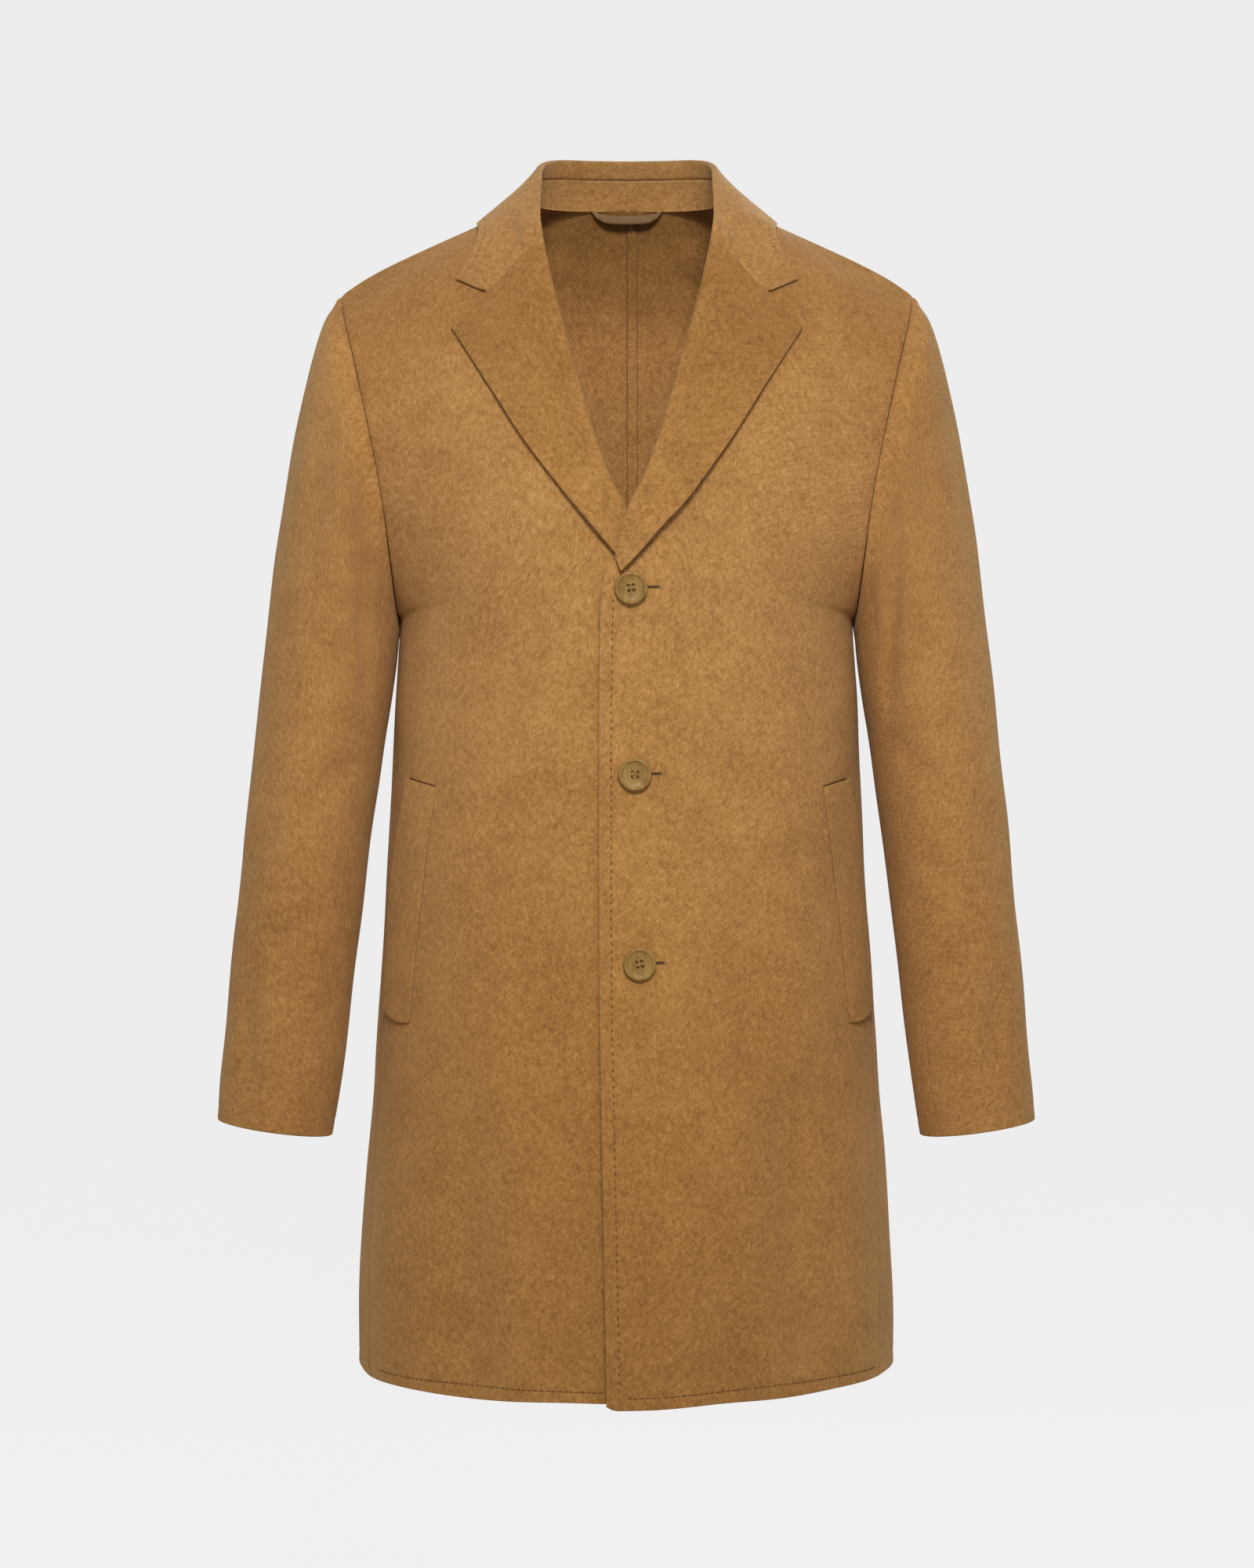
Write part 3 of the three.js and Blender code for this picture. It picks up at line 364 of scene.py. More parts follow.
def shell(name, P, N, T, edges, side, mat, uv_off=(0, 0), seam=1.15, hem_line=0.0, inside=None):
    """A closed thin wall: outer skin P, thickness T inwards. edges: left, right, top, bottom, each free or seam."""
    R, C, _ = P.shape
    left, right, top, bottom = arcs(P)
    T = np.broadcast_to(np.asarray(T, float), (R, C)).copy()
    o_out, o_in = np.zeros((R, C)), np.zeros((R, C))
    free = np.full((R, C), 1e9)
    for kind, d in zip(edges, (left, right, top, bottom)):
        if isinstance(kind, tuple):  # free where the weight is 0, sewn where it is 1
            weight = kind[1]
            free = np.minimum(free, d + 50.0 * (weight > 0.5))
            o_out -= weight * (seam * np.exp(-(d / 1.25) ** 2) - 0.25 * np.exp(-((d - 4.5) / 2.0) ** 2))
        elif kind == "free":
            free = np.minimum(free, d)
        elif kind == "seam":
            o_out -= seam * np.exp(-(d / 1.35) ** 2) - 0.22 * np.exp(-((d - 5.0) / 2.2) ** 2)
            o_in += 0.7 * np.exp(-(d / 2.6) ** 2)
        elif kind == "soft":
            o_out -= 0.6 * seam * np.exp(-(d / 1.1) ** 2)
            o_in += 0.3 * np.exp(-(d / 1.2) ** 2)
    rr = T / 2
    t = np.clip(free / rr, 0, 1)
    rim = rr * (1 - np.sqrt(np.clip(1 - (1 - t) ** 2, 0, 1))) * 0.985
    o_out -= rim
    o_in += rim
    if hem_line:
        o_out -= 0.42 * np.exp(-((bottom - hem_line) / 1.1) ** 2)
    outer = P + N * o_out[..., None]
    inner = P - N * (T - o_in)[..., None]
    co = np.concatenate([outer.reshape(-1, 3), inner.reshape(-1, 3)])
    id0 = np.arange(R * C).reshape(R, C)
    id1 = id0 + R * C
    f = []

    def quads(a, b, c, d):
        f.append(np.stack([a.ravel(), b.ravel(), c.ravel(), d.ravel()], -1))
    quads(id0[:-1, :-1], id0[:-1, 1:], id0[1:, 1:], id0[1:, :-1])
    quads(id1[:-1, :-1], id1[1:, :-1], id1[1:, 1:], id1[:-1, 1:])
    quads(id0[0, :-1], id1[0, :-1], id1[0, 1:], id0[0, 1:])
    quads(id0[-1, 1:], id1[-1, 1:], id1[-1, :-1], id0[-1, :-1])
    quads(id0[1:, 0], id1[1:, 0], id1[:-1, 0], id0[:-1, 0])
    quads(id0[:-1, -1], id1[:-1, -1], id1[1:, -1], id0[1:, -1])
    faces = np.concatenate(f)
    if side < 0:
        co = co * np.array([-1, 1, 1])
    vol = 0.0
    tri = co[faces[:, :3]]
    vol += np.einsum("ij,ij->i", tri[:, 0], np.cross(tri[:, 1], tri[:, 2])).sum()
    tri = co[faces[:, [0, 2, 3]]]
    vol += np.einsum("ij,ij->i", tri[:, 0], np.cross(tri[:, 1], tri[:, 2])).sum()
    if vol < 0:
        faces = faces[:, ::-1]
    mid = C // 2
    us = left - left[:, mid:mid + 1]
    vs = top[:, mid:mid + 1] + 0 * top
    uv = np.stack([us * side + uv_off[0], -vs + uv_off[1]], -1).reshape(-1, 2)
    ob = make_object(name, co, faces.tolist(), mat, np.concatenate([uv, uv]))
    if inside:
        ob.data.materials.append(MATS[inside])
        quads_n = (R - 1) * (C - 1)
        index = np.zeros(len(faces), np.int32)
        index[quads_n:2 * quads_n] = 1
        ob.data.polygons.foreach_set("material_index", index)
    ob["cut_w"], ob["cut_l"] = float(left[:, -1].max()) * 0.001, float(top[-1].max()) * 0.001
    quad = np.linalg.norm(np.cross(P[1:, :-1] - P[:-1, :-1], P[:-1, 1:] - P[:-1, :-1]), axis=-1).sum() * 1e-6
    ob["cut_area"] = float(quad)
    return ob


def body_ref(P):
    ref = np.zeros_like(P)
    ref[..., 1] = 15
    ref[..., 2] = np.clip(P[..., 2], -900, -150)
    return ref


def declare(ob, nodes):
    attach(ob, "root")
    if nodes:
        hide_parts(*nodes)
    w, l, area = max(ob["cut_w"], 0.0101), ob["cut_l"], ob["cut_area"]
    if area > w * l:
        w = area / l


# ------------------------------------------------------------------ materials
def nodes_of(mat):
    mat.use_nodes = True
    nt = mat.node_tree
    nt.nodes.clear()
    out = nt.nodes.new("ShaderNodeOutputMaterial")
    bsdf = nt.nodes.new("ShaderNodeBsdfPrincipled")
    nt.links.new(bsdf.outputs[0], out.inputs[0])
    return nt, bsdf


def ramp(nt, fac, stops):
    r = nt.nodes.new("ShaderNodeValToRGB")
    r.color_ramp.elements[0].position, r.color_ramp.elements[0].color = stops[0][0], (*stops[0][1], 1)
    r.color_ramp.elements[1].position, r.color_ramp.elements[1].color = stops[-1][0], (*stops[-1][1], 1)
    for p, c in stops[1:-1]:
        e = r.color_ramp.elements.new(p)
        e.color = (*c, 1)
    nt.links.new(fac, r.inputs[0])
    return r.outputs[0]


def noise_node(nt, vec, scale, detail, rough=0.6, distortion=0.0):
    n = nt.nodes.new("ShaderNodeTexNoise")
    n.inputs["Scale"].default_value = scale
    n.inputs["Detail"].default_value = detail
    n.inputs["Roughness"].default_value = rough
    n.inputs["Distortion"].default_value = distortion
    nt.links.new(vec, n.inputs["Vector"])
    return n.outputs["Fac"]


def math_node(nt, op, a, b=None, clamp=False):
    m = nt.nodes.new("ShaderNodeMath")
    m.operation = op
    m.use_clamp = clamp
    for k, v in enumerate((a, b)):
        if v is None:
            continue
        if isinstance(v, (int, float)):
            m.inputs[k].default_value = v
        else:
            nt.links.new(v, m.inputs[k])
    return m.outputs[0]


def mapped(nt, vec, rot=(0, 0, 0), scale=(1, 1, 1), loc=(0, 0, 0)):
    m = nt.nodes.new("ShaderNodeMapping")
    m.inputs["Rotation"].default_value = rot
    m.inputs["Scale"].default_value = scale
    m.inputs["Location"].default_value = loc
    nt.links.new(vec, m.inputs["Vector"])
    return m.outputs[0]


def wool(name, base, dark, light, sheen=0.28, painted_light_by_height=None):
    """Brushed coating: slow blotches, combed fibre streaks over a fine twill, specks of darker and paler hair."""
    mat = bpy.data.materials.new(name)
    nt, bsdf = nodes_of(mat)
    tc = nt.nodes.new("ShaderNodeTexCoord")
    uv, obj = tc.outputs["UV"], tc.outputs["Object"]
    slow = noise_node(nt, obj, 8.0, 3.0, 0.55)
    cloud = noise_node(nt, obj, 42.0, 3.0, 0.6)
    mottle = noise_node(nt, mapped(nt, uv, rot=(0, 0, 0.7), scale=(1.0, 0.85, 1.0)), 210.0, 4.0, 0.62, 0.5)
    streak = noise_node(nt, mapped(nt, uv, rot=(0, 0, 0.9), scale=(1.0, 0.5, 1.0)), 600.0, 4.0, 0.72, 0.7)
    streak2 = noise_node(nt, mapped(nt, uv, rot=(0, 0, -0.6), scale=(1.0, 0.55, 1.0), loc=(0.3, 0.1, 0)), 460.0, 3.0, 0.7, 0.9)
    speck = noise_node(nt, uv, 1300.0, 2.0, 0.8)
    twill = nt.nodes.new("ShaderNodeTexWave")
    twill.wave_type, twill.bands_direction, twill.wave_profile = "BANDS", "X", "SIN"
    twill.inputs["Scale"].default_value = 85.0
    twill.inputs["Distortion"].default_value = 4.0
    twill.inputs["Detail"].default_value = 2.0
    twill.inputs["Detail Scale"].default_value = 2.2
    nt.links.new(mapped(nt, uv, rot=(0, 0, 1.02)), twill.inputs["Vector"])
    tw = twill.outputs["Fac"]
    parts = ((slow, 0.5), (cloud, 0.5), (mottle, 0.75), (streak, 0.7), (streak2, 0.65), (speck, 0.9), (tw, 0.04))
    total = None
    parts = [(src, weight * (1.0 if src in (slow, cloud) else 1.5)) for src, weight in parts]
    for src, weight in parts:
        term = math_node(nt, "MULTIPLY", math_node(nt, "SUBTRACT", src, 0.5), weight)
        total = term if total is None else math_node(nt, "ADD", total, term)
    col = ramp(nt, math_node(nt, "ADD", total, 0.5), [(0.0, dark), (0.5, base), (1.0, light)])
    if painted_light_by_height:  # painted light and shade: the colour is made lighter or darker with height, where more or less light falls
        sep = nt.nodes.new("ShaderNodeSeparateXYZ")
        nt.links.new(obj, sep.inputs[0])
        high = nt.nodes.new("ShaderNodeMapRange")
        high.inputs["From Min"].default_value, high.inputs["From Max"].default_value = -1.0, 0.1
        nt.links.new(sep.outputs["Z"], high.inputs["Value"])
        f = ramp(nt, high.outputs[0], [((z + 1.0) / 1.1, (k, k * g, k * b)) for z, k, g, b in sorted(painted_light_by_height)])
        mul = nt.nodes.new("ShaderNodeMix")
        mul.data_type, mul.blend_type = "RGBA", "MULTIPLY"
        mul.inputs[0].default_value = 1.0
        nt.links.new(col, mul.inputs[6])
        nt.links.new(f, mul.inputs[7])
        col = mul.outputs[2]
    nt.links.new(col, bsdf.inputs["Base Color"])
    bsdf.inputs["Roughness"].default_value = 0.93
    bsdf.inputs["Specular IOR Level"].default_value = 0.18
    bsdf.inputs["Sheen Weight"].default_value = sheen
    bsdf.inputs["Sheen Roughness"].default_value = 0.55
    bsdf.inputs["Sheen Tint"].default_value = (0.92, 0.66, 0.36, 1)
    h = math_node(nt, "ADD", math_node(nt, "MULTIPLY", streak, 0.6), math_node(nt, "MULTIPLY", streak2, 0.45))
    h = math_node(nt, "ADD", h, math_node(nt, "MULTIPLY", speck, 0.3))
    h = math_node(nt, "ADD", h, math_node(nt, "MULTIPLY", tw, 0.16))
    h = math_node(nt, "ADD", h, math_node(nt, "MULTIPLY", cloud, 0.5))
    bump = nt.nodes.new("ShaderNodeBump")
    bump.inputs["Strength"].default_value = 0.75
    bump.inputs["Distance"].default_value = 0.0011
    nt.links.new(h, bump.inputs["Height"])
    nt.links.new(bump.outputs[0], bsdf.inputs["Normal"])
    MATS[name] = mat


def thread_mat(name, base, dark):
    mat = bpy.data.materials.new(name)
    nt, bsdf = nodes_of(mat)
    tc = nt.nodes.new("ShaderNodeTexCoord")
    n = noise_node(nt, tc.outputs["Object"], 900.0, 3.0, 0.7)
    nt.links.new(ramp(nt, n, [(0.3, dark), (0.7, base)]), bsdf.inputs["Base Color"])
    bsdf.inputs["Roughness"].default_value = 0.8
    bsdf.inputs["Specular IOR Level"].default_value = 0.25
    bump = nt.nodes.new("ShaderNodeBump")
    bump.inputs["Strength"].default_value = 0.5
    bump.inputs["Distance"].default_value = 0.0002
    nt.links.new(n, bump.inputs["Height"])
    nt.links.new(bump.outputs[0], bsdf.inputs["Normal"])
    MATS[name] = mat


def tape_mat(name):
    mat = bpy.data.materials.new(name)
    nt, bsdf = nodes_of(mat)
    tc = nt.nodes.new("ShaderNodeTexCoord")
    n = noise_node(nt, mapped(nt, tc.outputs["Object"], scale=(0.35, 1, 1)), 1400.0, 3.0, 0.7)
    cloud = noise_node(nt, tc.outputs["Object"], 160.0, 2.0)
    v = math_node(nt, "ADD", math_node(nt, "MULTIPLY", n, 0.7), math_node(nt, "MULTIPLY", cloud, 0.4))
    nt.links.new(ramp(nt, v, [(0.3, (0.150, 0.080, 0.031)), (0.75, (0.265, 0.148, 0.062))]), bsdf.inputs["Base Color"])
    bsdf.inputs["Roughness"].default_value = 0.75
    bsdf.inputs["Specular IOR Level"].default_value = 0.3
    bsdf.inputs["Sheen Weight"].default_value = 0.05
    bump = nt.nodes.new("ShaderNodeBump")
    bump.inputs["Strength"].default_value = 0.5
    bump.inputs["Distance"].default_value = 0.0003
    nt.links.new(n, bump.inputs["Height"])
    nt.links.new(bump.outputs[0], bsdf.inputs["Normal"])
    MATS[name] = mat


def horn_mat(name):
    mat = bpy.data.materials.new(name)
    nt, bsdf = nodes_of(mat)
    tc = nt.nodes.new("ShaderNodeTexCoord")
    n = noise_node(nt, mapped(nt, tc.outputs["Object"], rot=(0.2, 0.3, 0.5), scale=(1.0, 1.0, 0.28)), 190.0, 5.0, 0.62, 1.4)
    n2 = noise_node(nt, tc.outputs["Object"], 700.0, 3.0, 0.6)
    v = math_node(nt, "ADD", math_node(nt, "MULTIPLY", n, 0.85), math_node(nt, "MULTIPLY", n2, 0.15))
    nt.links.new(ramp(nt, v, [(0.28, (0.185, 0.096, 0.021)), (0.52, (0.306, 0.173, 0.042)), (0.74, (0.43, 0.260, 0.074))]), bsdf.inputs["Base Color"])
    bsdf.inputs["Roughness"].default_value = 0.40
    bsdf.inputs["Specular IOR Level"].default_value = 0.24
    bsdf.inputs["Subsurface Weight"].default_value = 0.06
    bsdf.inputs["Subsurface Scale"].default_value = 0.002
    bump = nt.nodes.new("ShaderNodeBump")
    bump.inputs["Strength"].default_value = 0.25
    bump.inputs["Distance"].default_value = 0.0002
    nt.links.new(n, bump.inputs["Height"])
    nt.links.new(bump.outputs[0], bsdf.inputs["Normal"])
    MATS[name] = mat


CAMEL = ((0.430, 0.212, 0.063), (0.262, 0.114, 0.031), (0.600, 0.330, 0.118))
# Painted light and shade: each of these copies of one camel colour is made lighter or darker, and warmer, by height
# where light or shade falls. Body and sleeves get darker shoulders and hem, the lapels and collar get darker tops, and
# the inside gets a lighter middle back and a painted shade at the top of the neck.
wool("wool", *CAMEL, painted_light_by_height=[(-1.0, 0.86, 0.93, 0.76), (-0.85, 0.88, 0.93, 0.76), (-0.65, 0.93, 0.94, 0.78), (-0.48, 1.0, 0.97, 0.90),
                            (-0.25, 1.02, 1.0, 0.99), (-0.16, 0.96, 0.98, 0.95), (-0.09, 0.82, 0.93, 0.78), (0.05, 0.80, 0.92, 0.74)])
wool("wool_sleeve", *CAMEL, painted_light_by_height=[(-0.8, 0.90, 0.95, 0.86), (-0.6, 0.93, 0.96, 0.88), (-0.3, 0.98, 0.98, 0.95), (-0.12, 0.94, 0.98, 0.94), (-0.06, 0.86, 0.94, 0.82)])
wool("wool_lapel", *CAMEL, painted_light_by_height=[(-0.32, 0.97, 0.99, 0.95), (-0.22, 0.88, 0.96, 0.86), (-0.13, 0.74, 0.935, 0.76), (-0.04, 0.74, 0.93, 0.74)])
wool("wool_collar", *CAMEL, painted_light_by_height=[(-0.08, 0.90, 0.98, 0.94), (0.0, 0.93, 1.0, 0.98), (0.02, 0.90, 0.99, 0.97), (0.045, 0.80, 0.98, 0.95)])
wool("wool_inside", *CAMEL, painted_light_by_height=[(-0.8, 0.8, 0.97, 0.9), (-0.3, 1.0, 0.98, 0.93), (-0.16, 1.04, 0.98, 0.94), (-0.10, 1.14, 0.96, 0.94),
                                   (-0.06, 0.84, 0.95, 0.86), (0.0, 0.60, 0.92, 0.80), (0.02, 0.57, 0.92, 0.80)])
thread_mat("thread", (0.300, 0.160, 0.055), (0.175, 0.088, 0.028))
# a brown thread whose dark colour also paints the shade of the dents and grooves that sunk stitches sit in
thread_mat("thread_with_painted_shade", (0.20, 0.10, 0.034), (0.12, 0.058, 0.018))
thread_mat("thread_pale", (0.44, 0.245, 0.082), (0.28, 0.145, 0.045))
thread_mat("slit_shadow", (0.085, 0.048, 0.018), (0.05, 0.027, 0.01))
tape_mat("tape")
horn_mat("horn")

# ------------------------------------------------------------------ fronts and backs
STEP = 4.6
VS_UP = spaced(330, STEP, (True, False)) * UP
VS_LOW = UP + spaced(600, STEP, (False, True)) * (ROWS - UP)
VS = np.concatenate([VS_UP, VS_LOW[1:]])
# rows near the hem stay close in millimetres: the last rows of the table are further apart than the mean
hem_mm = np.array([12.0, 9.0, 7.0, 5.4, 4.0, 2.8, 1.9, 1.2, 0.7, 0.35, 0.12, 0.0])
VS = np.concatenate([VS[VS < ROWS - 12.5 / 84.0], ROWS - hem_mm / 84.0])
ROLL_R = (LIE + CLOTH - 0.2) / 2
MIR = np.array([-1, 1, 1])


def edge_lift(d, z):
    """How far the top front's edge is puffed, and stands off the under front, d mm in from it."""
    puff = 2.5 * np.exp(-(d / 5.5) ** 2) * smooth(-296, -322, z) - 0.45 * np.exp(-((d - 9.3) / 1.6) ** 2) * smooth(-300, -330, z)
    stand = 3.4 * smooth(-560, -780, z) * np.exp(-(d / 26.0) ** 2) + 1.7 * smooth(-300, -335, z) * np.exp(-(d / 8.0) ** 2)
    return puff, stand


def front_panel(side, over):
    us = spaced(250, STEP)
    P = body_grid(True, side, us, VS, over)
    # the roll of the lapel takes the first few millimetres of the rows that it turns along
    start = ROLL_R * smooth(3.2, 4.2, VS) * (1 - smooth(12.55, 12.95, VS))
    width = np.linalg.norm(np.diff(P, axis=1), axis=-1).sum(1)
    u0 = start / width
    cols = u0[:, None] + (1 - u0[:, None]) * us[None]
    V = np.repeat(VS[:, None], len(us), 1)
    P = body_points(True, side, cols.ravel(), V.ravel(), over).reshape(len(VS), len(us), 3)
    # lower front corner is rounded, the top front is a little longer
    if over:
        P[..., 2] -= 3.8 * smooth(-860, -932, P[..., 2]) * (1 - smooth(10, 90, P[..., 0]))
    corner = np.clip(1 - (P[..., 0] - P[:, :1, 0]) / 9.0, 0, 1) * smooth(ROWS - 0.10, ROWS, V)
    P[..., 2] += 4.0 * corner ** 2
    P[..., 2] -= 2.2 * np.exp(-((P[..., 0] - 115) / 42.0) ** 2) * smooth(-880, -932, P[..., 2])
    N = grid_normals(P, ref=body_ref(P))
    name = "coat_front_left" if over else "coat_front_right"
    T = np.full(P.shape[:2], CLOTH)
    if over:
        d = np.concatenate([np.zeros((len(P), 1)), np.cumsum(np.linalg.norm(np.diff(P, axis=1), axis=-1), 1)], 1)
        puff, stand = edge_lift(d, P[..., 2])
        P = P + N * (puff + stand)[..., None]
        T = T + 0.5 * np.maximum(puff, 0)
    return shell(name, P, N, T, ("free", "seam", "soft", "free"), side, "wool", (side * 300, 0), seam=0.46, hem_line=8.5, inside="wool_inside")


def back_panel(side):
    us = spaced(250, STEP)
    P = body_grid(False, side, us, VS)
    N = grid_normals(P, ref=body_ref(P))
    N[:, 0, 0] = 0
    N = unit(N)
    name = "coat_back_left" if side > 0 else "coat_back_right"
    # above the back neck's centre the inner edge is the neck seam, below it the centre-back seam
    return shell(name, P, N, CLOTH, ("seam", "seam", "soft", "free"), side, "wool", (side * 900, 0), seam=0.8, hem_line=8.5, inside="wool_inside")


fl, fr = front_panel(1, True), front_panel(-1, False)
bl, br = back_panel(1), back_panel(-1)


# ------------------------------------------------------------------ sleeves
def sleeve_rings(side, js):
    n = 2 * UP
    jj = np.mod(js, n)
    front = jj <= UP
    arm = np.zeros((len(js), 3))
    if front.any():
        arm[front] = body_points(True, side, np.ones(front.sum()), jj[front])
    if (~front).any():
        arm[~front] = body_points(False, side, np.ones((~front).sum()), n - jj[~front])
    arm[:, 0] += 0.08
    rings = [arm]
    ang = jj * (180.0 / UP) * RAD
    c, s = np.cos(ang), np.sin(ang)
    for r in SLEEVE:
        rings.append(np.stack([r[2] + (r[0] - r[2]) * (1 + c) / 2, r[4] - np.where(s > 0, r[5], r[6]) * s,
                               r[3] + (r[1] - r[3]) * (1 + c) / 2], -1))
    rings = np.array(rings)
    rings[:, :, 0] -= (4.0 if side > 0 else 2.8) * smooth(5, 12, np.arange(len(rings)))[:, None]
    # below the armhole the inner side of the sleeve lies almost against the body
    low = np.exp(-((rings[..., 2] + 356) / 26.0) ** 2) * (1 - smooth(186, 200, rings[..., 0])) * (np.arange(len(rings)) > 0)[:, None]
    rings[..., 0] -= 1.2 * low
    return rings


def sleeve_grid(side, js, ks):
    """js: columns from the shoulder (0) down the front to the underarm (13) and up the back (26)."""
    jj = np.mod(js, 2 * UP)
    P = through(sleeve_rings(side, js), ks)
    centre = through(sleeve_rings(side, np.linspace(0, 2 * UP, 53)[:-1]).mean(1), ks)[:, None, :]
    out = unit(P - centre)
    deg = np.repeat((jj * (180.0 / UP))[None], len(ks), 0)
    z = P[..., 2]
    fade = smooth(0.25, 1.2, ks)[:, None] * (1 - smooth(11.4, 12.0, ks))[:, None]
    radius = np.linalg.norm(P - centre, axis=-1)
    d = np.zeros_like(z)
    for shift in (-360, 0, 360):
        d += crease_field(deg + shift, z, SLEEVE_CREASES, side, a_scale=1.15, strength=2.5)
    d += 0.55 * np.sin(z / 31 + deg * RAD * 2 + side) * np.sin(z / 57 + 1.3) + 0.35 * np.sin(z / 17 - 3 * deg * RAD)
    head = 1.5 * np.exp(-((ks[:, None] - 0.22) / 0.22) ** 2) * np.clip(np.cos(deg * RAD * 0.9), 0, 1) ** 0.6
    away = 1 - 0.85 * np.exp(-((np.minimum(deg, 360 - deg) - 180) / 40.0) ** 2) * (1 - smooth(4.5, 7.0, ks))[:, None]
    P = P + out * ((d * fade) * away + head)[..., None]
    return P, centre


KS_LEN = 665.0
KS = np.concatenate([spaced(KS_LEN, STEP, (True, False))[:-1], 1 - hem_mm[1:] / KS_LEN]) * 12.0
KS = np.unique(np.concatenate([KS[KS < 12 - 13 / 60.0], 12 - hem_mm / 60.0]))


def sleeve(side):
    label = "left" if side > 0 else "right"
    obs = []
    for part, j0, j1, width, sides in (("top", 17 - 26, 10, 330.0, ("soft", "soft")), ("under", 10, 17, 120.0, ("soft", "soft"))):
        js = j0 + (j1 - j0) * spaced(width, STEP)
        wide = np.concatenate([[js[0] - 0.02], js, [js[-1] + 0.02]])
        P, centre = sleeve_grid(side, wide, KS)
        N = grid_normals(P, ref=np.broadcast_to(centre, P.shape))
        P, N = P[:, 1:-1], N[:, 1:-1]
        obs.append(shell(f"coat_sleeve_{part}_{label}", P, N, CLOTH, (*sides, "seam", "free"), side, "wool_sleeve",
                         (side * (1500 + 400 * (part == "under")), 0), seam=0.5, hem_line=11.0))
    return obs


sl_top, sl_under = sleeve(1)
sr_top, sr_under = sleeve(-1)


# ------------------------------------------------------------------ lapels
def lapel_base(side, over, s, i):
    """In-plane place of lapel points: s from the roll line to the edge, i from the gorge to the break."""
    n = len(ROLL) - 1
    roll, edge = through(ROLL, i), through(LAPEL_EDGE, i)
    k = s * (len(GORGE) + 1)
    top = np.where((k <= len(GORGE) - 1)[..., None], through(GORGE, np.minimum(k, len(GORGE) - 1)), 0)
    t = np.clip((k - len(GORGE) + 1) / 2, 0, 1)
    notch = GORGE[-1] + (LAPEL_EDGE[0] - GORGE[-1]) * t[..., None]
    notch[..., 1] -= 1.2 * np.sin(np.pi * t)
    top = np.where((k <= len(GORGE) - 1)[..., None], top, notch)
    flat = ROLL[0] + (LAPEL_EDGE[0] - ROLL[0]) * s[..., None]
    q = roll + (edge - roll) * s[..., None] + (top - flat) * ((1 - i / n) ** 3)[..., None]
    q[..., 1] -= 0.35 * np.clip(1 - i, 0, 1)
    return q


def lapel(side, over):
    label = "left" if over else "right"
    n = len(ROLL) - 1
    iv = spaced(335, STEP * 0.75) * n
    # columns: round the roll, then flat to the edge
    arc = np.linspace(-90, 90, 13) * RAD
    flat = spaced(100, STEP * 0.6, (False, True))[1:]
    S0 = lapel_base(side, over, np.zeros_like(iv), iv)
    S1 = lapel_base(side, over, np.ones_like(iv), iv)
    width = np.linalg.norm(S1 - S0, axis=-1)
    I = np.repeat(iv[:, None], len(flat), 1)
    s_roll = np.minimum(ROLL_R / width, 0.5)
    rows_i = iv[:, None]
    s_flat = s_roll[:, None] + (1 - s_roll[:, None]) * flat[None]
    s_arc = s_roll[:, None] * (1 - np.cos(arc))[None]
    Sall = np.concatenate([s_arc, s_flat], 1)
    Iall = np.repeat(rows_i, Sall.shape[1], 1)
    q = lapel_base(side, over, Sall, Iall)
    p, nrm = on_panel(True, side, q[..., 0], q[..., 1], over)
    p, nrm = p.reshape(*Sall.shape, 3), nrm.reshape(*Sall.shape, 3)
    T = CLOTH - 0.2
    hc = (LIE - T) / 2
    h = np.concatenate([np.repeat((hc + ROLL_R * np.sin(arc))[None], len(iv), 0), np.full_like(s_flat, LIE)], 1)
    # the turned edge stands a little fuller in the middle of its length, and the leaf rises towards its free edge
    mid = np.sin(np.pi * np.clip(iv / n, 0, 1)) ** 0.8
    sf = np.clip((Sall - s_roll[:, None]) / (1 - s_roll[:, None]), 0, 1)
    rise = (6.2 if over else 2.8) * smooth(0.8, 5.0, iv) * (1 - 0.5 * smooth(6.2, 7.0, iv)) + 1.2
    h += rise[:, None] * sf ** 1.4
    h += 2.6 * mid[:, None] * np.exp(-((sf - 0.06) / 0.20) ** 2) * (np.arange(Sall.shape[1]) >= 8)[None]
    h += 0.7 * np.sin(iv * 2.1 + 0.5)[:, None] * np.sin(sf * 5.0 + 0.4) * (sf > 0)
    # normals across the fold: use the panel's normal for height and the true surface for shading
    nn = nrm.copy()
    P = p + nn * h[..., None]
    # the semicircle leans out over the opening
    N = grid_normals(P)
    s = np.sign((N[:, -6] * nrm[:, -6]).sum())
    N = N * s
    sewn = (Sall[0] * (len(GORGE) + 1) <= len(GORGE) - 1)[None] * 1.0
    ob = shell(f"coat_lapel_{label}", P, N, T, ("none", "free", ("mix", sewn), "free"), side, "wool_lapel", (side * 2500, 40), seam=1.0)
    return ob, P, N


(ll, lapel_P, lapel_N), (lr, _, _) = lapel(1, True), lapel(-1, False)

# ------------------------------------------------------------------ collar
tree_pts, tree_nrm = [], []
for sd in (1, -1):
    for front in (True, False):
        us, vs = np.linspace(0, 1, 60), np.linspace(0, 10, 90)
        g = body_grid(front, sd, us, vs, over=False)
        gn = grid_normals(g, ref=body_ref(g))
        m = MIR if sd < 0 else np.ones(3)
        tree_pts.append((g * m).reshape(-1, 3))
        tree_nrm.append((gn * m).reshape(-1, 3))
tree_pts, tree_nrm = np.concatenate(tree_pts), np.concatenate(tree_nrm)
tree = kdtree.KDTree(len(tree_pts))
for k, p in enumerate(tree_pts):
    tree.insert(Vector(p), k)
tree.balance()


def clear_of_body(p, h):
    p = np.array(p, float)
    for _ in range(3):
        _, k, _ = tree.find(Vector(p))
        d = float(np.dot(p - tree_pts[k], tree_nrm[k]))
        if d >= h:
            break
        p = p + tree_nrm[k] * (h - d)
    return p


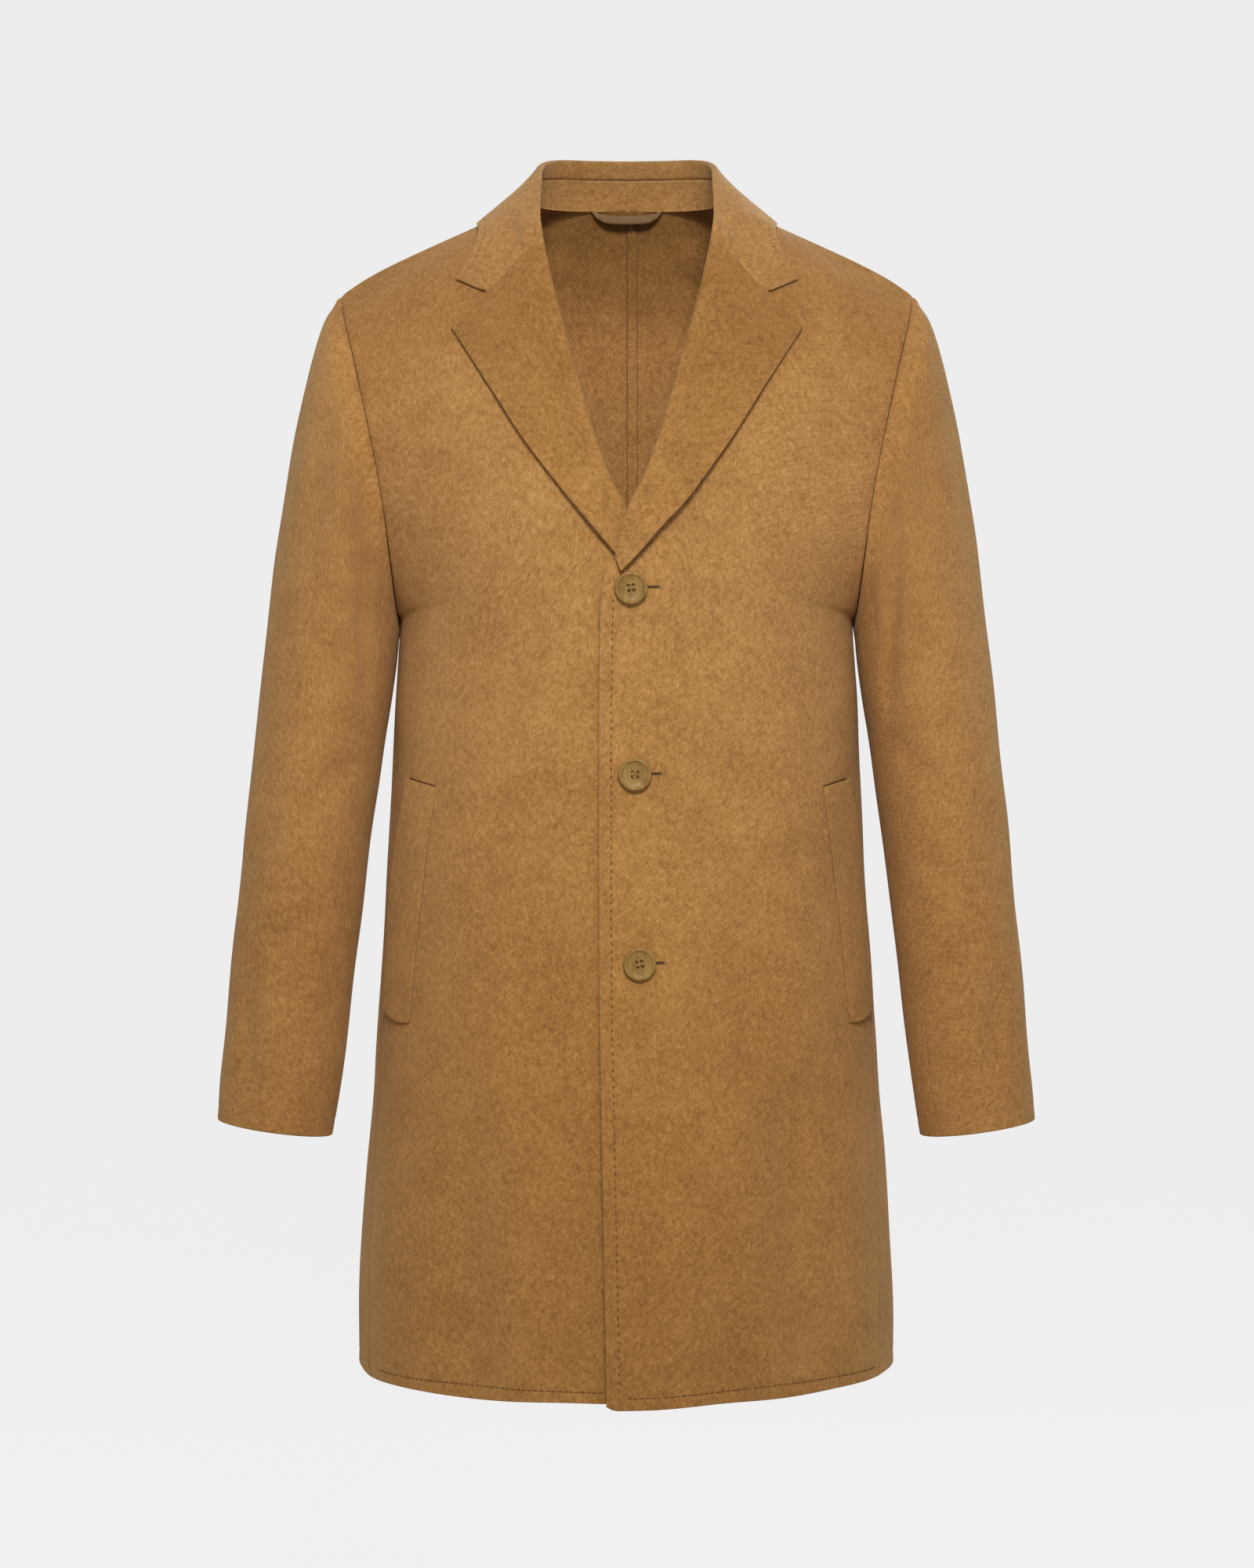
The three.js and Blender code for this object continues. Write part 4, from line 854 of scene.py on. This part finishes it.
def collar_rows():
    last = len(COLLAR) - 1
    falls, stands = [], []
    for i in np.arange(0, last + 0.01, 0.5):
        c = through(COLLAR, i)
        B, R, L, st = c[0:3], c[3:6], c[6:9], c[9]
        out = np.array([0, 1.0, 0]) if i == 0 else unit(np.array([L[0] - R[0], L[1] - R[1], 0]))
        up = unit(R - B)
        foot = B + unit(np.array([-out[0], -out[1], 1.0])) * 0.3
        A = R - up * FOLD
        S = foot + (A - foot) * st
        top = R + out * FOLD
        D = R + out * 2 * FOLD - up * FOLD
        pts = [S + up * 0.15, A, R + out * 0.3 * FOLD - up * 0.35 * FOLD, top, R + out * 1.7 * FOLD - up * 0.35 * FOLD, D]
        flat = float(smooth(1.2, 3.0, i) * (1 - smooth(6.0, 7.5, i)))
        for t in np.arange(1, 7) / 6.0:
            p = D + (L - D) * t + (out * 0.6 + np.array([0, 0, 0.8])) * (3.2 * (1 - 0.7 * flat) * math.sin(math.pi * t) * float(smooth(last, last - 2, i)))
            if i > last - 2:
                k = float(smooth(last - 2, last, i))
                s = t * 6
                g = GORGE + np.array([0, 0.2])
                q = through(g, s) if s <= 5.0001 else g[5] + (COLLAR_TIP - g[5]) * (s - 5)
                f, _ = on_panel(True, 1, [q[0]], [q[1]], True)
                target = np.array([q[0], f[0, 1] - LIE - 0.5 - 1.5 * float(smooth(4.6, 6.0, s)), q[1]])
                if i >= last - 0.01:
                    pts.append(target)
                    continue
                p = p + (target - p) * 0.45 * k
            pts.append(clear_of_body(p, LIE + (2.8 if t < 0.2 else -0.3 + 1.2 * t * float(smooth(last - 3.5, last - 2, i) * smooth(last, last - 1, i)))))
        if i >= last - 0.01:
            # the roll of the collar runs out into the roll of the lapel
            for j, k in enumerate((0, 2, 5, 7, 10, 12)):
                pts[j] = lapel_P[0, k] + np.array([0, 0, 0.3])
            S = pts[0] + np.array([0, 0.6, -0.4])
            up = np.array([0, 0, 1.0])
        falls.append(np.array(pts))
        # the foot of the stand turns in over the neck edge of the back and covers it
        lap = float(smooth(last - 0.6, last - 2.5, i))
        low = foot - out * 1.7 * lap - np.array([0, 0, 1.3]) * lap
        stands.append(np.array([low, foot - out * 0.9 * lap + np.array([0, 0, 0.9]) * lap, foot + (S - foot) * 0.5, S - up * 0.15]))
    return np.array(falls), np.array(stands)


falls, stands = collar_rows()
m_ = np.array([-1, 1, 1])
falls = np.concatenate([falls[1:][::-1] * m_, falls])
stands = np.concatenate([stands[1:][::-1] * m_, stands])
ti = spaced(520, STEP * 0.7) * (len(falls) - 1)


def refine(rows, ti, tj):
    G = through(rows, ti)
    return np.moveaxis(through(np.moveaxis(G, 1, 0), tj), 0, 1)


tj = np.concatenate([np.linspace(0, 5, 26), 5 + 6 * spaced(60, STEP * 0.5, (False, True))[1:]])
Pf = refine(falls, ti, tj)
Nf = grid_normals(Pf)
sg = np.sign((Nf[len(ti) // 2, -6] * np.array([0, 1.0, 0.2])).sum())
Nf = Nf * sg
sewn = (tj <= 10.0)[None] * 1.0
cf = shell("coat_collar_fall", Pf, Nf, CLOTH - 0.3, ("soft", "free", ("mix", sewn), ("mix", sewn)), 1, "wool_collar", (0, 300), seam=0.9)
ts = np.concatenate([np.linspace(0, 1, 7), np.linspace(1, 3, 12)[1:]])
Ps = refine(stands, ti, ts)
Ns = grid_normals(Ps)
sg = np.sign((Ns[len(ti) // 2, 12] * np.array([0, -1.0, 0])).sum())
Ns = Ns * sg
cs = shell("coat_collar_stand", Ps, Ns, 0.5 + (CLOTH - 1.4) * smooth(0.3, 1.2, ts)[None], ("none", "soft", "free", "free"), 1, "wool_collar", (0, 500), seam=0.7)


# ------------------------------------------------------------------ welts
def welt(side, over, shift):
    label = "left" if over else "right"
    tv = spaced(183, STEP * 0.7) * 3
    tu = spaced(46, STEP * 0.5)
    W = through(WELT, tv)
    xf, xo = W[:, 1] + shift, W[:, 3] + shift * 0.4
    x = xf[:, None] + (xo - xf)[:, None] * tu[None]
    z = W[:, 0][:, None] + (W[:, 2] - W[:, 0])[:, None] * tu[None]
    z -= 4 * np.sin(np.pi * tu)[None] * smooth(2.4, 3.0, tv)[:, None]
    p, n = on_panel(True, side, x, z, over)
    p, n = p.reshape(*x.shape, 3), n.reshape(*x.shape, 3)
    h = 0.85 + 3.4 * tu[None] ** 0.75 + 0.5 * np.sin(tv * 2.3 + side)[:, None] * tu[None]
    T = 0.5 + 1.4 * smooth(0.0, 0.3, tu)[None] + 0 * h
    P = p + n * h[..., None]
    N = grid_normals(P)
    N = N * np.sign((N * n).sum())
    return shell(f"coat_welt_{label}", P, N, T, ("soft", "free", "free", "free"), side, "wool", (side * 3300, 0), seam=0.9), x[0], z[0]


(wl, wl_x, wl_z), (wr, wr_x, wr_z) = welt(1, True, 2.0), welt(-1, False, -2.0)

# ------------------------------------------------------------------ hanger loop
tl = spaced(66, 1.2) * (len(LOOP) - 1)
L = through(LOOP, tl)
tz = spaced(7.0, 0.8, (False, False))
P = np.stack([np.repeat(L[:, :1], len(tz), 1), np.repeat((L[:, 2:] - 1.6), len(tz), 1), L[:, 1:2] + 3.5 - 7 * tz[None]], -1)
P[..., 1] -= 0.35 * np.sin(np.pi * tz)[None]
P[..., 0] *= 1 - 0.17 * tz[None] * (np.abs(P[..., 0]) / 30.0) ** 2
N = np.zeros_like(P)
N[..., 1] = -1
lp = shell("coat_hanger_loop", P, N, 1.6, ("free", "free", "free", "free"), 1, "tape")


# ------------------------------------------------------------------ stitches
class Bits:
    """Many small threads joined into one mesh: each is a short capsule bent over the cloth."""

    def __init__(self):
        self.co, self.f = [], []

    def capsule(self, a, b, n, r, arch=0.0, sides=6, rings=5):
        a, b, n = np.asarray(a, float), np.asarray(b, float), unit(n)
        ax = unit(b - a)
        w = unit(np.cross(n, ax))
        base = sum(len(c) for c in self.co)
        pts = []
        for k in range(rings):
            t = k / (rings - 1)
            rr = r * (0.45 + 0.55 * math.sin(math.pi * (0.12 + 0.76 * t)))
            c = a + (b - a) * t + n * arch * math.sin(math.pi * t)
            for m in range(sides):
                g = 2 * math.pi * m / sides
                pts.append(c + w * rr * math.cos(g) + n * rr * 0.8 * math.sin(g))
        pts.append(a - ax * r * 0.4)
        pts.append(b + ax * r * 0.4)
        self.co.append(np.array(pts))
        for k in range(rings - 1):
            for m in range(sides):
                q = base + k * sides
                self.f.append((q + m, q + (m + 1) % sides, q + sides + (m + 1) % sides, q + sides + m))
        e0, e1 = base + rings * sides, base + rings * sides + 1
        last = base + (rings - 1) * sides
        for m in range(sides):
            self.f.append((base + (m + 1) % sides, base + m, e0))
            self.f.append((last + m, last + (m + 1) % sides, e1))

    def object(self, name, mat):
        co = np.concatenate(self.co)
        ob = make_object(name, co, self.f, mat)
        bm = bmesh.new()
        bm.from_mesh(ob.data)
        bmesh.ops.recalc_face_normals(bm, faces=bm.faces)
        bm.to_mesh(ob.data)
        bm.free()
        return ob


def line_on(points, normals, pitch, length, bits, r, h, jitter=0.0, seed=0):
    """Stitches of one length at an even pitch along a line on the cloth."""
    seg = np.linalg.norm(np.diff(points, axis=0), axis=-1)
    s = np.concatenate([[0], np.cumsum(seg)])
    rng = np.random.default_rng(seed)
    pos = pitch * 0.5
    while pos + length < s[-1]:
        a0, a1 = pos, pos + length * (1 + jitter * rng.uniform(-0.4, 0.4))
        pa = np.array([np.interp(a0, s, points[:, k]) for k in range(3)])
        pb = np.array([np.interp(a1, s, points[:, k]) for k in range(3)])
        nn = unit(np.array([np.interp((a0 + a1) / 2, s, normals[:, k]) for k in range(3)]))
        bits.capsule(pa + nn * h, pb + nn * h, nn, r, arch=0.05)
        pos += pitch * (1 + jitter * rng.uniform(-0.15, 0.15))


def panel_line(front, side, over, x, z):
    p, n = on_panel(front, side, x, z, over)
    if side < 0:
        p, n = p * MIR, n * MIR
    return p, n


edge = Bits()
# along the front edge, about 9 mm in
zz = np.linspace(-322, -924, 160)
fe = np.interp(-zz, -LOWER[:, 0], LOWER[:, 6])
p, n = panel_line(True, 1, True, fe + 9.3, zz)
p = p + n * (sum(edge_lift(9.3 + 0 * zz, zz)) + 0.3)[:, None]
line_on(p, n, 6.0, 2.5, edge, 0.50, 0.02, 0.5, 3)
# hems: a row just above the edge, both fronts
for side, over, x0 in ((1, True, -2), (-1, False, 16)):
    xx = np.linspace(x0, 196, 120)
    zl = -932 + 8.5 - (2.6 * (1 - smooth(10, 90, xx)) if over else 0) + 0 * xx
    p, n = panel_line(True, side, over, xx, zl)
    if over:
        p = p + n * sum(edge_lift(np.maximum(xx - fe[-1], 0), zl))[:, None]
    line_on(p, n, 4.6, 3.3, edge, 0.44, -0.05, 0.4, 5 + side)
# the dark thread of these stitches also paints the shade of the dents they sit in
stitches = edge.object("edge_stitches", "thread_with_painted_shade")
# the upper ends of the welts are sewn down with a close row; its dark thread also paints the shade of the groove along
# the sewn end
tack = Bits()
for side, over, x, z in ((1, True, wl_x, wl_z), (-1, False, wr_x, wr_z)):
    p, n = panel_line(True, side, over, x, z + 0.7)
    line_on(p, n, 1.5, 1.45, tack, 0.55, 0.15, 0.1, 61 + side)
tack_st = tack.object("welt_stitches", "thread_with_painted_shade")

# collar edges: points taken from the collar's own rows, a few millimetres in
pick = Bits()


def along_grid(P, N, axis, inset):
    """A line on a grid at a set distance from its last column; axis is not used."""
    left, right, top, bottom = arcs(P)
    pts, nrm = [], []
    for i in range(P.shape[0]):
        d = right[i][::-1]
        pts.append([np.interp(inset, d, P[i, ::-1, k]) for k in range(3)])
        nrm.append([np.interp(inset, d, N[i, ::-1, k]) for k in range(3)])
    return np.array(pts), unit(np.array(nrm))


p, n = along_grid(Pf, Nf, 1, 7.4)
arc_len = np.concatenate([[0], np.cumsum(np.linalg.norm(np.diff(p, axis=0), axis=-1))])
for part, seed in (((arc_len > 8) & (arc_len < 62), 11), ((arc_len < arc_len[-1] - 8) & (arc_len > arc_len[-1] - 62), 13)):
    line_on(p[part], n[part], 6.6, 2.2, pick, 0.48, 0.0, 0.5, seed)
mid_part = (arc_len > 70) & (arc_len < arc_len[-1] - 70)
line_on(p[mid_part], n[mid_part], 6.6, 2.2, pick, 0.34, -0.05, 0.5, 14)
# across the collar's two front ends
for row in (9, -10):
    pp, nn = Pf[row], Nf[row]
    j0 = np.searchsorted(tj, 10.2)
    line_on(pp[j0:-7], nn[j0:-7], 5.0, 2.0, pick, 0.30, -0.05, 0.5, 12 + row)
# the dark thread of these stitches also paints the shade of the dents they sit in
picks = pick.object("collar_stitches", "thread_with_painted_shade")

# one row along the inside of the collar, just under the seam of the stand
stand_bits = Bits()
p, n = along_grid(Ps, Ns, 1, 2.4)
inner_part = np.abs(p[:, 0]) < 50
line_on(p[inner_part], n[inner_part], 3.3, 2.1, stand_bits, 0.32, 0.05, 0.4, 31)
stand_st = stand_bits.object("stand_stitches", "thread_pale")

# ------------------------------------------------------------------ armhole topstitching and the felled strip
arm_bits = Bits()
for side, j_end in ((1, 8.6), (-1, 8.2)):
    jj = np.linspace(0.6, j_end, 90)
    uu = 1 - 6.5 / np.interp(jj, [0, 4, 8, 13], [152, 160, 178, 205])
    p = body_points(True, side, uu, jj, False)
    e = 1e-3
    a = body_points(True, side, uu + e, jj, False) - p
    b = body_points(True, side, uu, jj + e, False) - p
    n = unit(np.cross(a, b))
    n *= np.sign((n * (p - body_ref(p))).sum(-1, keepdims=True))
    if side < 0:
        p, n = p * MIR, n * MIR
    line_on(p, n, 6.4, 2.4, arm_bits, 0.30, -0.05, 0.4, 20 + side)
arm_st = arm_bits.object("armhole_stitches", "thread")

zc = np.concatenate([np.linspace(4, -80, 30), np.linspace(-86, -924, 150)])
rows = []
vs = []
for z in zc:
    vs.append(z)
strip_w = 8.0
xs = np.concatenate([[0, 0.3, 0.8, 1.5], np.linspace(2.4, strip_w - 2.4, 5), [strip_w - 1.5, strip_w - 0.8, strip_w - 0.3, strip_w]])
X = np.repeat(xs[None], len(zc), 0)
Z = np.repeat(zc[:, None], len(xs), 1)
p, n = on_panel(False, 1, X + 0.4, Z)
p, n = p.reshape(*X.shape, 3), n.reshape(*X.shape, 3)
Pst = p - n * (CLOTH + 0.05 + 1.5)
felled = shell("coat_felled_strip", Pst, -n, 1.5, ("free", "free", "free", "free"), 1, "wool_inside", (0, 4000))
fell = Bits()
for col, dx, seed in ((len(xs) - 1, 0.45, 41), (0, -0.3, 42)):
    q = p[:, col] - n[:, col] * (CLOTH + 0.15) + np.array([dx, 0, 0])
    line_on(q, -n[:, col], 3.4, 2.2, fell, 0.34, 0.0, 0.5, seed)
fell_st = fell.object("felled_stitches", "thread")

# ------------------------------------------------------------------ buttonholes
slits, whip = Bits(), Bits()


def slit_at(p0, p1, nrm, bits_dark, bits_thread, r=0.55, pitch=0.95, reach=1.5):
    """A closed slit from p0 to p1: a dark line between two rows of close whipping."""
    p0, p1, nrm = np.asarray(p0), np.asarray(p1), unit(nrm)
    L = np.linalg.norm(p1 - p0)
    ax = (p1 - p0) / L
    w = unit(np.cross(nrm, ax))
    bits_dark.capsule(p0 + nrm * 0.22, p1 + nrm * 0.22, nrm, 0.95, sides=8, rings=9)
    k = 0
    pos = 0.4
    while pos < L:
        for sgn in (1, -1):
            c = p0 + ax * pos
            j = 0.18 * math.sin(k * 7.3 + sgn)
            bits_thread.capsule(c + w * sgn * 0.72 + nrm * 0.26, c + w * sgn * (reach + j) + nrm * 0.05, nrm, r * 0.62, arch=0.30)
            k += 1
        pos += pitch
    for m in range(7):
        g = (-90 + 30 * m) * RAD
        d = ax * math.cos(g) + w * math.sin(g)
        bits_thread.capsule(p1 + d * 0.35 + nrm * 0.30, p1 + d * (reach + 0.2) + nrm * 0.05, nrm, r * 0.62, arch=0.3)


button_frames = []
for (x, z), short in zip(BUTTONS, (3.2, 4.6, 6.0)):
    p, n = on_panel(True, 1, [x], [z], True)
    nb = unit(np.array([n[0, 0] * 0.5, n[0, 1], 0.0]))
    button_frames.append((p[0] + nb * 1.0, nb))
    xs_ = np.array([x + 5.0, x + 24.5 - short])
    q, qn = on_panel(True, 1, xs_, np.array([z + 0.6, z + 0.9]), True)
    slit_at(q[0], q[1], qn.mean(0), slits, whip)


def on_leaf(x, z):
    """A point on the upper face of the top lapel."""
    P, N = lapel_P[:, 14:], lapel_N[:, 14:]
    k = np.unravel_index(np.argmin((P[..., 0] - x) ** 2 + (P[..., 2] - z) ** 2), P.shape[:2])
    p, n = P[k], unit(N[k])
    return np.array([x, p[1] - (n[0] * (x - p[0]) + n[2] * (z - p[2])) / n[1], z]), n


# the lapel's own buttonhole, parallel to its upper edge: closed, so only its worked edges show
for t_ in np.linspace(0, 1, 25):
    c, n = on_leaf(91.5 + 18.0 * t_, -98.5 - 16.0 * t_)
    w = unit(np.cross(n, [18.0, 0, -16.0]))
    wide = 1.15 + 0.15 * math.sin(t_ * 40)
    whip.capsule(c - w * wide - n * 0.06, c + w * wide - n * 0.06, n, 0.34, arch=0.12)
slit_ob = slits.object("buttonhole_slits", "slit_shadow")
whip_ob = whip.object("buttonhole_whipping", "thread_pale")

# ------------------------------------------------------------------ buttons
PROFILE = [(0, 0.0), (6, 0.0), (9.0, 0.05), (10.6, 0.45), (11.8, 1.1), (12.4, 1.9), (12.5, 2.6), (12.35, 3.3), (12.0, 3.85), (11.5, 4.25),
           (10.9, 4.4), (10.35, 4.3), (9.95, 3.95), (9.65, 3.5), (9.2, 3.2), (8.4, 3.0), (7.0, 2.85), (5.0, 2.8), (3.0, 2.85), (0, 2.9)]


def button_mesh():
    bm = bmesh.new()
    seg = 72
    rings = []
    for r, h in PROFILE:
        if r == 0:
            rings.append([bm.verts.new((0, 0, h))])
        else:
            rings.append([bm.verts.new((r * math.cos(2 * math.pi * k / seg), r * math.sin(2 * math.pi * k / seg), h)) for k in range(seg)])
    for a, b in zip(rings, rings[1:]):
        for k in range(seg):
            if len(a) == 1:
                bm.faces.new((a[0], b[(k + 1) % seg], b[k]))
            elif len(b) == 1:
                bm.faces.new((a[k], a[(k + 1) % seg], b[0]))
            else:
                bm.faces.new((a[k], a[(k + 1) % seg], b[(k + 1) % seg], b[k]))
    bmesh.ops.recalc_face_normals(bm, faces=bm.faces)
    me = bpy.data.meshes.new("button_blank")
    bm.to_mesh(me)
    bm.free()
    ob = bpy.data.objects.new("button_blank", me)
    scene.collection.objects.link(ob)
    cutters = []
    for k in range(4):
        a = (45 + 90 * k) * RAD
        bpy.ops.mesh.primitive_cone_add(vertices=28, radius1=1.05, radius2=1.45, depth=3.0, location=(2.55 * math.cos(a), 2.55 * math.sin(a), 2.05))
        c = bpy.context.object
        cutters.append(c)
        m = ob.modifiers.new("h", "BOOLEAN")
        m.operation, m.object, m.solver = "DIFFERENCE", c, "EXACT"
    bpy.context.view_layer.update()
    me2 = bpy.data.meshes.new_from_object(ob.evaluated_get(bpy.context.evaluated_depsgraph_get()))
    bpy.data.objects.remove(ob)
    for c in cutters:
        bpy.data.objects.remove(c)
    return me2


blank = button_mesh()
button_obs, button_threads = [], Bits()
for k, (at, nb) in enumerate(button_frames):
    me = blank.copy()
    me.name = f"coat_button_{k + 1}"
    z_ = Vector(nb)
    x_ = Vector((1, 0, 0))
    x_ = (x_ - z_ * x_.dot(z_)).normalized()
    y_ = z_.cross(x_)
    turn = Matrix.Rotation((0.12, -0.05, 0.22)[k], 4, "Z")
    tilt = Matrix.Rotation((0.05, -0.03, 0.04)[k], 4, "X")
    M = Matrix(((x_.x, y_.x, z_.x, at[0]), (x_.y, y_.y, z_.y, at[1]), (x_.z, y_.z, z_.z, at[2]), (0, 0, 0, 1)))
    me.transform(Matrix.Scale(0.001, 4) @ M @ turn @ tilt)
    me.polygons.foreach_set("use_smooth", [True] * len(me.polygons))
    me.materials.clear()
    me.materials.append(MATS["horn"])
    ob = bpy.data.objects.new(me.name, me)
    scene.collection.objects.link(ob)
    mod = ob.modifiers.new("edges", "EDGE_SPLIT")
    mod.split_angle = 0.9
    button_obs.append(ob)
    F = np.array(M @ turn @ tilt)

    def at_(x, y, h):
        return (F @ np.array([x, y, h, 1.0]))[:3]
    nn = F[:3, 2]
    q = 2.55 * math.cos(math.pi / 4)
    pairs = [((-q, -q), (-q, q)), ((q, -q), (q, q))] if k != 1 else [((-q, -q), (q, -q)), ((-q, q), (q, q)), ((-q, -q), (-q, q))]
    for (x0, y0), (x1, y1) in pairs:
        for off in (-0.34, 0.0, 0.34):
            dx, dy = (off, 0) if x0 == x1 else (0, off)
            button_threads.capsule(at_(x0 + dx, y0 + dy, 2.2), at_(x1 + dx, y1 + dy, 2.2), nn, 0.26, arch=1.15, rings=9)
    # the shank under the button
    button_threads.capsule(at_(0, 0, 0.2), at_(0, 0, -3.4), F[:3, 0], 1.6, sides=12, rings=5)
bt = button_threads.object("button_threads", "thread_pale")

# ------------------------------------------------------------------ what rides and replaces what
declare(fl, ["front_left"])
declare(fr, ["front_right"])
declare(bl, ["back_left"])
declare(br, ["back_right"])
declare(sl_top, ["sleeve_top_left"])
declare(sl_under, ["sleeve_under_left"])
declare(sr_top, ["sleeve_top_right"])
declare(sr_under, ["sleeve_under_right"])
declare(ll, ["lapel_left"])
declare(lr, ["lapel_right"])
declare(cf, ["collar_fall"])
declare(cs, ["collar_stand"])
declare(wl, ["welt_left"])
declare(wr, ["welt_right"])
declare(lp, ["hanger_loop"])
declare(felled, [])
for k, ob in enumerate(button_obs):
    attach(ob, "root")
    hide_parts(f"button_{k + 1}")
for ob in (stitches, tack_st, picks, stand_st, arm_st, slit_ob, whip_ob, bt, fell_st):
    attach(ob, "root")

# ------------------------------------------------------------------ floor, backdrop and light
mat = bpy.data.materials.new("backdrop")
nt, bsdf = nodes_of(mat)
bsdf.inputs["Roughness"].default_value = 0.9
bsdf.inputs["Specular IOR Level"].default_value = 0.05
tc = nt.nodes.new("ShaderNodeTexCoord")
sep = nt.nodes.new("ShaderNodeSeparateXYZ")
nt.links.new(tc.outputs["Object"], sep.inputs[0])
far = nt.nodes.new("ShaderNodeMapRange")
far.interpolation_type = "SMOOTHSTEP"
far.inputs["From Min"].default_value, far.inputs["From Max"].default_value = 0.75, 1.3
nt.links.new(sep.outputs["Y"], far.inputs["Value"])
nt.links.new(ramp(nt, far.outputs[0], [(0.0, (0.62, 0.62, 0.62)), (1.0, (0.06, 0.06, 0.06))]), bsdf.inputs["Base Color"])
bsdf.inputs["Emission Color"].default_value = (1.0, 1.0, 1.0, 1)
nt.links.new(math_node(nt, "MULTIPLY", far.outputs[0], 0.812), bsdf.inputs["Emission Strength"])
MATS["backdrop"] = mat
bm = bmesh.new()
prof = [(-6.0, 0.0), (2.2, 0.0)] + [(2.2 + 1.6 * math.sin(a), 1.6 - 1.6 * math.cos(a)) for a in np.linspace(0.1, math.pi / 2, 14)] + [(3.8, 7.0)]
cols = [[bm.verts.new((x, y, -1.42 + z)) for (y, z) in prof] for x in (-7, 7)]
for k in range(len(prof) - 1):
    bm.faces.new((cols[0][k], cols[1][k], cols[1][k + 1], cols[0][k + 1]))
me = bpy.data.meshes.new("backdrop")
bm.to_mesh(me)
bm.free()
me.polygons.foreach_set("use_smooth", [True] * len(me.polygons))
me.materials.append(mat)
back = bpy.data.objects.new("backdrop", me)
scene.collection.objects.link(back)

world = bpy.data.worlds.new("studio")
scene.world = world
world.use_nodes = True
world.node_tree.nodes["Background"].inputs[0].default_value = (1.0, 1.0, 1.0, 1)
world.node_tree.nodes["Background"].inputs[1].default_value = 0.37


def area(name, loc, target, size, power, color=(1, 1, 1)):
    d = bpy.data.lights.new(name, "AREA")
    d.shape, d.size, d.size_y, d.energy, d.color = "RECTANGLE", size[0], size[1], power, color
    o = bpy.data.objects.new(name, d)
    o.location = loc
    o.rotation_euler = (Vector(target) - Vector(loc)).to_track_quat("-Z", "Y").to_euler()
    scene.collection.objects.link(o)


area("key", (0.07, -1.9, 0.62), (0, 0, -0.3), (0.55, 0.38), 30.6)
area("top", (0, -0.2, 2.0), (0, 0, -0.3), (1.2, 0.8), 3)
area("behind", (0.5, 2.2, 1.0), (0, 0, -0.35), (0.9, 0.6), 26)

scene.view_settings.view_transform = "Standard"
